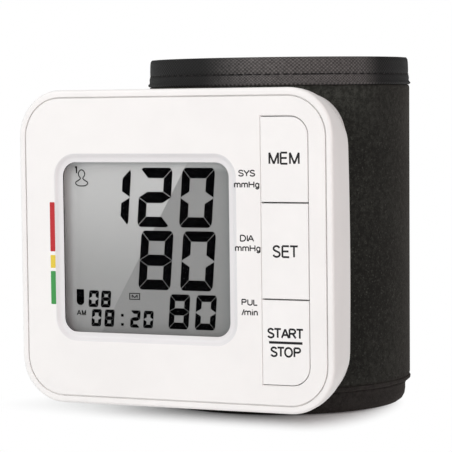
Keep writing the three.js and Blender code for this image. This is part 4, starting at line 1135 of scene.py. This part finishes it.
def sleeve_profile():
    outer, inner = LOOP_RADIUS, LOOP_RADIUS - SLEEVE_THICK
    low = outer - LEAN_IN
    rise = [SLEEVE_LOW + 0.5 + (SLEEVE_HIGH - SLEEVE_LOW - 1) * i / 12 for i in range(13)]
    return (
        [(inner, SLEEVE_LOW), (low - 0.4, SLEEVE_LOW - 0.25), (low - 0.08, SLEEVE_LOW)]
        + [(outer - LEAN_IN * (1 - z / SLEEVE_HIGH), z) for z in rise]
        + [(outer - 0.15, SLEEVE_HIGH - 0.05), (outer - 0.5, SLEEVE_HIGH + 0.1), (inner, SLEEVE_HIGH)]
    )


def top_hem_profile():
    r = LOOP_RADIUS
    return [
        (LINING_INNER + 0.4, 67.7), (26.3, 67.7), (r - 0.1, 67.75), (r + 0.2, 67.95), (r + 0.23, 68.2),
        (r - 0.02, 68.45), (r - 0.12, 68.7), (r - 0.06, 69.2), (r - 0.14, 69.7), (r - 0.38, 69.95),
        (r - 0.24, 70.2), (r - 0.22, 71.0), (r - 0.27, 72.4), (r - 0.36, 73.1), (r - 0.6, 73.45),
        (r - 1.2, 73.5), (LINING_INNER + 2.2, 73.45), (LINING_INNER + 0.9, 73.1), (LINING_INNER + 0.2, 72.4),
        (LINING_INNER, 71.2), (LINING_INNER, 68.6), (LINING_INNER + 0.1, 68.0),
    ]


def bottom_hem_profile():
    r = LOOP_RADIUS - LEAN_IN
    return [
        (LINING_INNER + 0.4, 5.5), (LINING_INNER + 0.1, 5.2), (LINING_INNER, 4.6), (LINING_INNER, 2.0),
        (LINING_INNER + 0.3, 0.9), (LINING_INNER + 1.0, 0.2), (LINING_INNER + 2.2, 0.0), (r - 3.7, 0.0),
        (r - 2.4, 0.2), (r - 1.6, 0.75), (r - 1.15, 1.6), (r - 1.0, 2.6), (r - 1.0, 3.5), (r - 0.95, 3.85),
        (r - 0.85, 4.0), (r - 0.8, 4.3), (r - 0.95, 4.5), (r - 0.7, 4.65), (r - 0.5, 4.75),
        (r - 0.1, 4.8), (r + 0.12, 5.0), (r + 0.15, 5.3), (r - 0.02, 5.55), (26.3, 5.5),
    ]


def lining_profile():
    rise = [6.0 + 61.2 * i / 8 for i in range(9)]
    return [(LINING_OUTER, 5.8), (LINING_OUTER, 67.4)] + [(LINING_INNER, z) for z in reversed(rise)]


STITCH_PITCH, STITCH_LENGTH, THREAD_DEEP, THREAD_HIGH = 2.1, 1.15, 0.12, 0.14


def stitches(bm, radius, height, start, end):
    """A row of thread stitches, each a small bead drawn out along the seam."""
    count = int(radians(end - start) * radius / STITCH_PITCH)
    for i in range(count):
        turn = radians(start) + (i + 0.5) * STITCH_PITCH / radius
        bead = bmesh.ops.create_icosphere(bm, subdivisions=1, radius=1)["verts"]
        bmesh.ops.scale(bm, verts=bead, vec=(THREAD_DEEP, STITCH_LENGTH / 2, THREAD_HIGH))
        bmesh.ops.translate(bm, verts=bead, vec=(radius, 0, height))
        bmesh.ops.rotate(bm, verts=bead, cent=(0, 0, 0), matrix=Matrix.Rotation(turn, 3, "Z"))
        for face in {f for v in bead for f in v.link_faces}:
            face.material_index = 1


CLOTH_SHARP = 50
BENDS = {
    "cuff_bend": ("monitor", "cuff_arm", BEND_FROM, BEND_TO, LOOP_STEP),
    "flap_bend": ("cuff_arm", "flap", ARM_END + 0.2, ARM_END + 6.5, 0.7),
}


def cuff_piece(name, profile, start, end, body, finish, nodes, seams=()):
    """A spun piece on a body, or across one of the two bends."""
    bm = bmesh.new()
    bend = BENDS.get(body)
    spun(bm, profile, start, end, bend[4] if bend else LOOP_STEP)
    for radius, height in seams:
        stitches(bm, radius, height, start, end)
    cloth_map(bm, start)
    piece = settle(
        bm, name, None if bend else body, finish, LOOP_MIDDLE, nodes, sharp=CLOTH_SHARP, flat=False
    )
    if bend:
        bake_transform(piece)
    return piece


LAYERS = (
    ("sleeve", sleeve_profile(), "pile_fabric", [pile], "cuff_shell", ()),
    ("top_hem", top_hem_profile(), "hem_fabric", [hem, thread], "top_binding", (TOP_SEAM,)),
    ("bottom_hem", bottom_hem_profile(), "hem_fabric", [hem_cloth, thread], "bottom_binding", ()),
    ("lining", lining_profile(), "lining_fabric", [lining_cloth], "cuff_lining", ()),
)
for name, profile, slot, finish, node, seams in LAYERS:
    wrap = cuff_piece(
        name + "_wrap", profile, BACK_SEAM - 360, ARM_END, "cuff_bend", finish,
        [node + "_base", node + "_arm"], seams,
    )
    cuff_piece(name + "_end", profile, BASE_START, BACK_SEAM, "monitor", finish, [], seams)
    print(name, len(wrap.data.polygons), "faces")

# %% [markdown]
# ## The closure
# Behind the cuff a flap of the same fabric is sewn to the arm, runs on over the base and grips it
# with a patch of hooks. It peels back to open the cuff, so it is its own piece. The bladder is a thin rubber
# bag between the band and the lining.

# %% Flap, hooks and bladder
FLAP_IN, FLAP_OUT, FLAP_LOW, FLAP_HIGH, FLAP_TIP = 29.1, 30.6, 10.7, 62.7, 140
ROOT_IN, ROOT_START, BORDER = 28.0, 54, 2.2
HOOKS, HOOKS_FROM, HOOKS_TO = (28.2, 28.8, 14.7, 58.7, 0.15), 82, 136
BLADDER, BLADDER_FROM, BLADDER_TO = (23.3, 24.1, 8.7, 64.7, 0.3), 90, 322


def strap_profile(inner, outer, low, high, soft=0.45):
    rise = [low + soft + (high - low - soft * 2) * i / 8 for i in range(9)]
    return (
        [(outer - soft, low), (outer - soft * 0.3, low + soft * 0.3)]
        + [(outer, z) for z in rise]
        + [(outer - soft * 0.3, high - soft * 0.3), (outer - soft, high), (inner + soft * 0.4, high)]
        + [(inner, z) for z in (high - soft, low + soft)]
        + [(inner + soft * 0.4, low)]
    )


border = [(FLAP_OUT + 0.02, height) for height in (FLAP_LOW + BORDER, FLAP_HIGH - BORDER)]
cuff_piece(
    "flap_sewn_root", strap_profile(ROOT_IN, FLAP_OUT, FLAP_LOW, FLAP_HIGH), ROOT_START, ARM_END,
    "cuff_arm", [pile, thread], ["flap_root"], border,
)
flap = cuff_piece(
    "flap_strap", strap_profile(FLAP_IN, FLAP_OUT, FLAP_LOW, FLAP_HIGH), ARM_END, FLAP_TIP,
    "flap_bend", [pile, thread], ["closure_flap"], border,
)
hooks = fabric("hook_tape", (0.006, 0.006, 0.007), (0.03, 0.03, 0.032), 0.1, 0.6)
cuff_piece(
    "hook_tape_patch", strap_profile(*HOOKS), HOOKS_FROM, HOOKS_TO, "flap", [hooks],
    ["hook_patch"],
)
rubber = plastic("black_rubber", (0.02, 0.02, 0.021), 0.7, 0.00002)
cuff_piece(
    "bladder_bag", strap_profile(*BLADDER), BLADDER_FROM, BLADDER_TO, "monitor", [rubber],
    ["air_bladder"],
)
print("closure made")

# %% [markdown]
# ## Parts inside
# Board, switches, pump, valve, batteries and contacts keep their CAD shapes, which are right, and get
# finishes of their own: solder mask, moulded black and grey plastic, turned and stamped metals,
# silicone tube and the printed jacket of a cell.


# %% Metals, board and cells
def metal(name, colour, roughness):
    finish = Finish(name, Metallic=1.0)
    brushed = finish.grain(1, 2, finish.stretched((9000, 9000, 700)))
    stain = finish.grain(220, 2)
    finish.shows(
        Base_Color=finish.mix(stain.rise(0.35, 0.7), [c * 0.86 for c in colour], colour),
        Roughness=roughness + (brushed - 0.5) * 0.2,
    )
    return finish.relief(brushed, 0.000004)


steel = metal("steel", (0.62, 0.63, 0.65), 0.32)
valve_metal = metal("valve_metal", (0.5, 0.52, 0.54), 0.4)
brass = metal("brass", (0.6, 0.42, 0.16), 0.34)
black_plastic = plastic("black_plastic", (0.018, 0.018, 0.019), 0.45)
grey_plastic = plastic("grey_plastic", (0.27, 0.28, 0.29), 0.5)
silicone = plastic("silicone", (0.7, 0.69, 0.65), 0.55)
board = plastic("board_green", (0.015, 0.12, 0.055), 0.4)
jacket = Finish("battery_jacket", Metallic=0.4)
jz = jacket.axes()[2]
CELL_LOW, CELL_HIGH = 0.0165, 0.049
cap_band = jz.above(CELL_HIGH) + (1 - jz.above(CELL_LOW))
scuff = jacket.grain(700, 3)
jacket.shows(
    Base_Color=jacket.mix(cap_band, (0.03, 0.034, 0.04), (0.6, 0.42, 0.16)),
    Roughness=0.34 + (scuff - 0.5) * 0.3,
)
jacket.relief(scuff, 0.000008)
print("inner finishes:", steel.material.name, jacket.material.name)

# %% Dressing the CAD nodes that stay
WORN = (
    (black_plastic, "lcd_holder controller_chip buzzer cuff_former_base cuff_former_arm"),
    (grey_plastic, "air_manifold pressure_sensor pump_head cuff_air_port"),
    (steel, "pump_motor pump_cam_shaft cuff_screw_1 cuff_screw_2"),
    (steel, "battery_contact_1 battery_contact_2 battery_contact_bridge"),
    (silicone, "pump_hose valve_hose sensor_hose"), (jacket, "battery_1 battery_2"),
    (rubber, "lcd_connector_strip"), (board, "main_board"),
    (valve_metal, "release_valve"), (brass, "valve_plunger"),
)
DRESS = {name: finish for finish, names in WORN for name in names.split()}
DRESS.update({f"case_screw_{i}": steel for i in (1, 2, 3, 4)})
DRESS.update({name + "_switch": black_plastic for name in KEYS})
DRESS.update({name + "_switch_plunger": grey_plastic for name in KEYS})
for name, finish in DRESS.items():
    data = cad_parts[name].data
    data.materials.clear()
    data.materials.append(finish.material)
left_plain = [n for n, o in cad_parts.items() if n not in DRESS and not o.hide_render]
print("nodes dressed:", len(DRESS), "plain ones still showing:", left_plain)

# %% [markdown]
# ## Floor and light
# The photograph was lit by large soft boxes in front of a white sweep. The world gives most of the
# light, so that a colour renders about as it is written. A cool lamp from the left, a warm one from
# the right and a weak one above shape the sides, and a strip light only puts a shine on the edges.
# Near the object the floor keeps its shadow, and further off it fades to pure white.

# %% Stage
WORLD_LIGHT, LAMP_AIM, FLOOR_HALF = 0.47, Vector((0, 0, 0.035)), 3
SHADOW_ASIDE, SHADOW_AHEAD, SHADOW_HALF, SHADOW_ROUND = 0.0088, 0.004, 0.0305, 0.018
FADE_AHEAD, FADE_LEFT, FADE_RIGHT, FLOOR_GLOW = 49.5, 24.0, 2900.0, 0.05


def pale_floor():
    floor = bpy.data.meshes.new("floor")
    bm = bmesh.new()
    bmesh.ops.create_grid(bm, x_segments=2, y_segments=2, size=FLOOR_HALF)
    bm.to_mesh(floor)
    bm.free()
    piece = bpy.data.objects.new("floor", floor)
    scene.collection.objects.link(piece)
    paper = Finish("paper_white", Roughness=0.9, Base_Color=(0.9, 0.9, 0.9, 1), Specular_IOR_Level=0.0)
    rays = paper.node("ShaderNodeLightPath")
    outs = rays.socket.node.outputs
    kinds = ("Camera", "Glossy", "Transmission")
    camera, glossy, through = (Wire(paper, outs[f"Is {kind} Ray"]) for kind in kinds)
    x, y, _ = paper.axes()
    matt = Wire(paper, paper.surface.outputs[0])
    aside = x * cos(AZIMUTH) + y * sin(AZIMUTH) - SHADOW_ASIDE
    ahead = x * sin(AZIMUTH) - y * cos(AZIMUTH) + SHADOW_AHEAD
    right = aside.larger(0.0)
    left = (aside * -1.0).larger(0.0)
    apart = (ahead * ahead + SHADOW_ROUND ** 2) ** 0.5
    away = (apart - SHADOW_HALF) * FADE_AHEAD + left * FADE_LEFT + right * right * FADE_RIGHT
    far = paper.node("ShaderNodeEmission", values={"Color": (1, 1, 1), "Strength": 1.0})
    glow = paper.node("ShaderNodeEmission", values={"Color": (1, 1, 1), "Strength": FLOOR_GLOW})
    near = paper.node("ShaderNodeAddShader", values=[matt, glow])
    lit = paper.node("ShaderNodeMixShader", values=[away.rise(0.0, 1.0), near, far])
    both = paper.node("ShaderNodeMixShader", values=[camera + glossy + through, matt, lit])
    paper.tree.links.new(both.socket, paper.tree.nodes["Material Output"].inputs["Surface"])
    floor.materials.append(paper.material)
    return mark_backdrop(piece)


def white_world():
    world = bpy.data.worlds.new("studio")
    world.use_nodes = True
    scene.world = world
    tree = world.node_tree
    sky = tree.nodes["Background"]
    rays = tree.nodes.new("ShaderNodeLightPath")
    white = tree.nodes.new("ShaderNodeBackground")
    blend = tree.nodes.new("ShaderNodeMixShader")
    sky.inputs["Color"].default_value = (1, 1, 1, 1)
    sky.inputs["Strength"].default_value = WORLD_LIGHT
    white.inputs["Color"].default_value = (1, 1, 1, 1)
    tree.links.new(rays.outputs["Is Camera Ray"], blend.inputs[0])
    tree.links.new(sky.outputs[0], blend.inputs[1])
    tree.links.new(white.outputs[0], blend.inputs[2])
    tree.links.new(blend.outputs[0], tree.nodes["World Output"].inputs["Surface"])


def lamp(name, place, watts, size, colour=(1, 1, 1), shine_only=False):
    data = bpy.data.lights.new(name, "AREA")
    data.energy, data.size, data.color = watts, size, colour
    made = bpy.data.objects.new(name, data)
    made.location = place
    made.visible_diffuse = not shine_only
    made.rotation_euler = (LAMP_AIM - Vector(place)).to_track_quat("-Z", "Y").to_euler()
    scene.collection.objects.link(made)


pale_floor()
white_world()
for light in (
    ("soft_box_left", (-0.5, -0.85, 0.5), 5.0, 0.7, (0.97, 0.995, 1.0)),
    ("soft_box_top", (0.1, -0.2, 1.1), 1.4, 0.7),
    ("soft_box_right", (0.77, -0.68, 0.35), 2.0, 0.5, (1.0, 0.74, 0.72)),
    ("strip_light", (0.57, -0.82, 0.3), 1.6, 0.35, (1, 0.97, 0.95), True),
):
    lamp(*light)
scene.view_settings.view_transform = "Standard"
print("world light", WORLD_LIGHT)
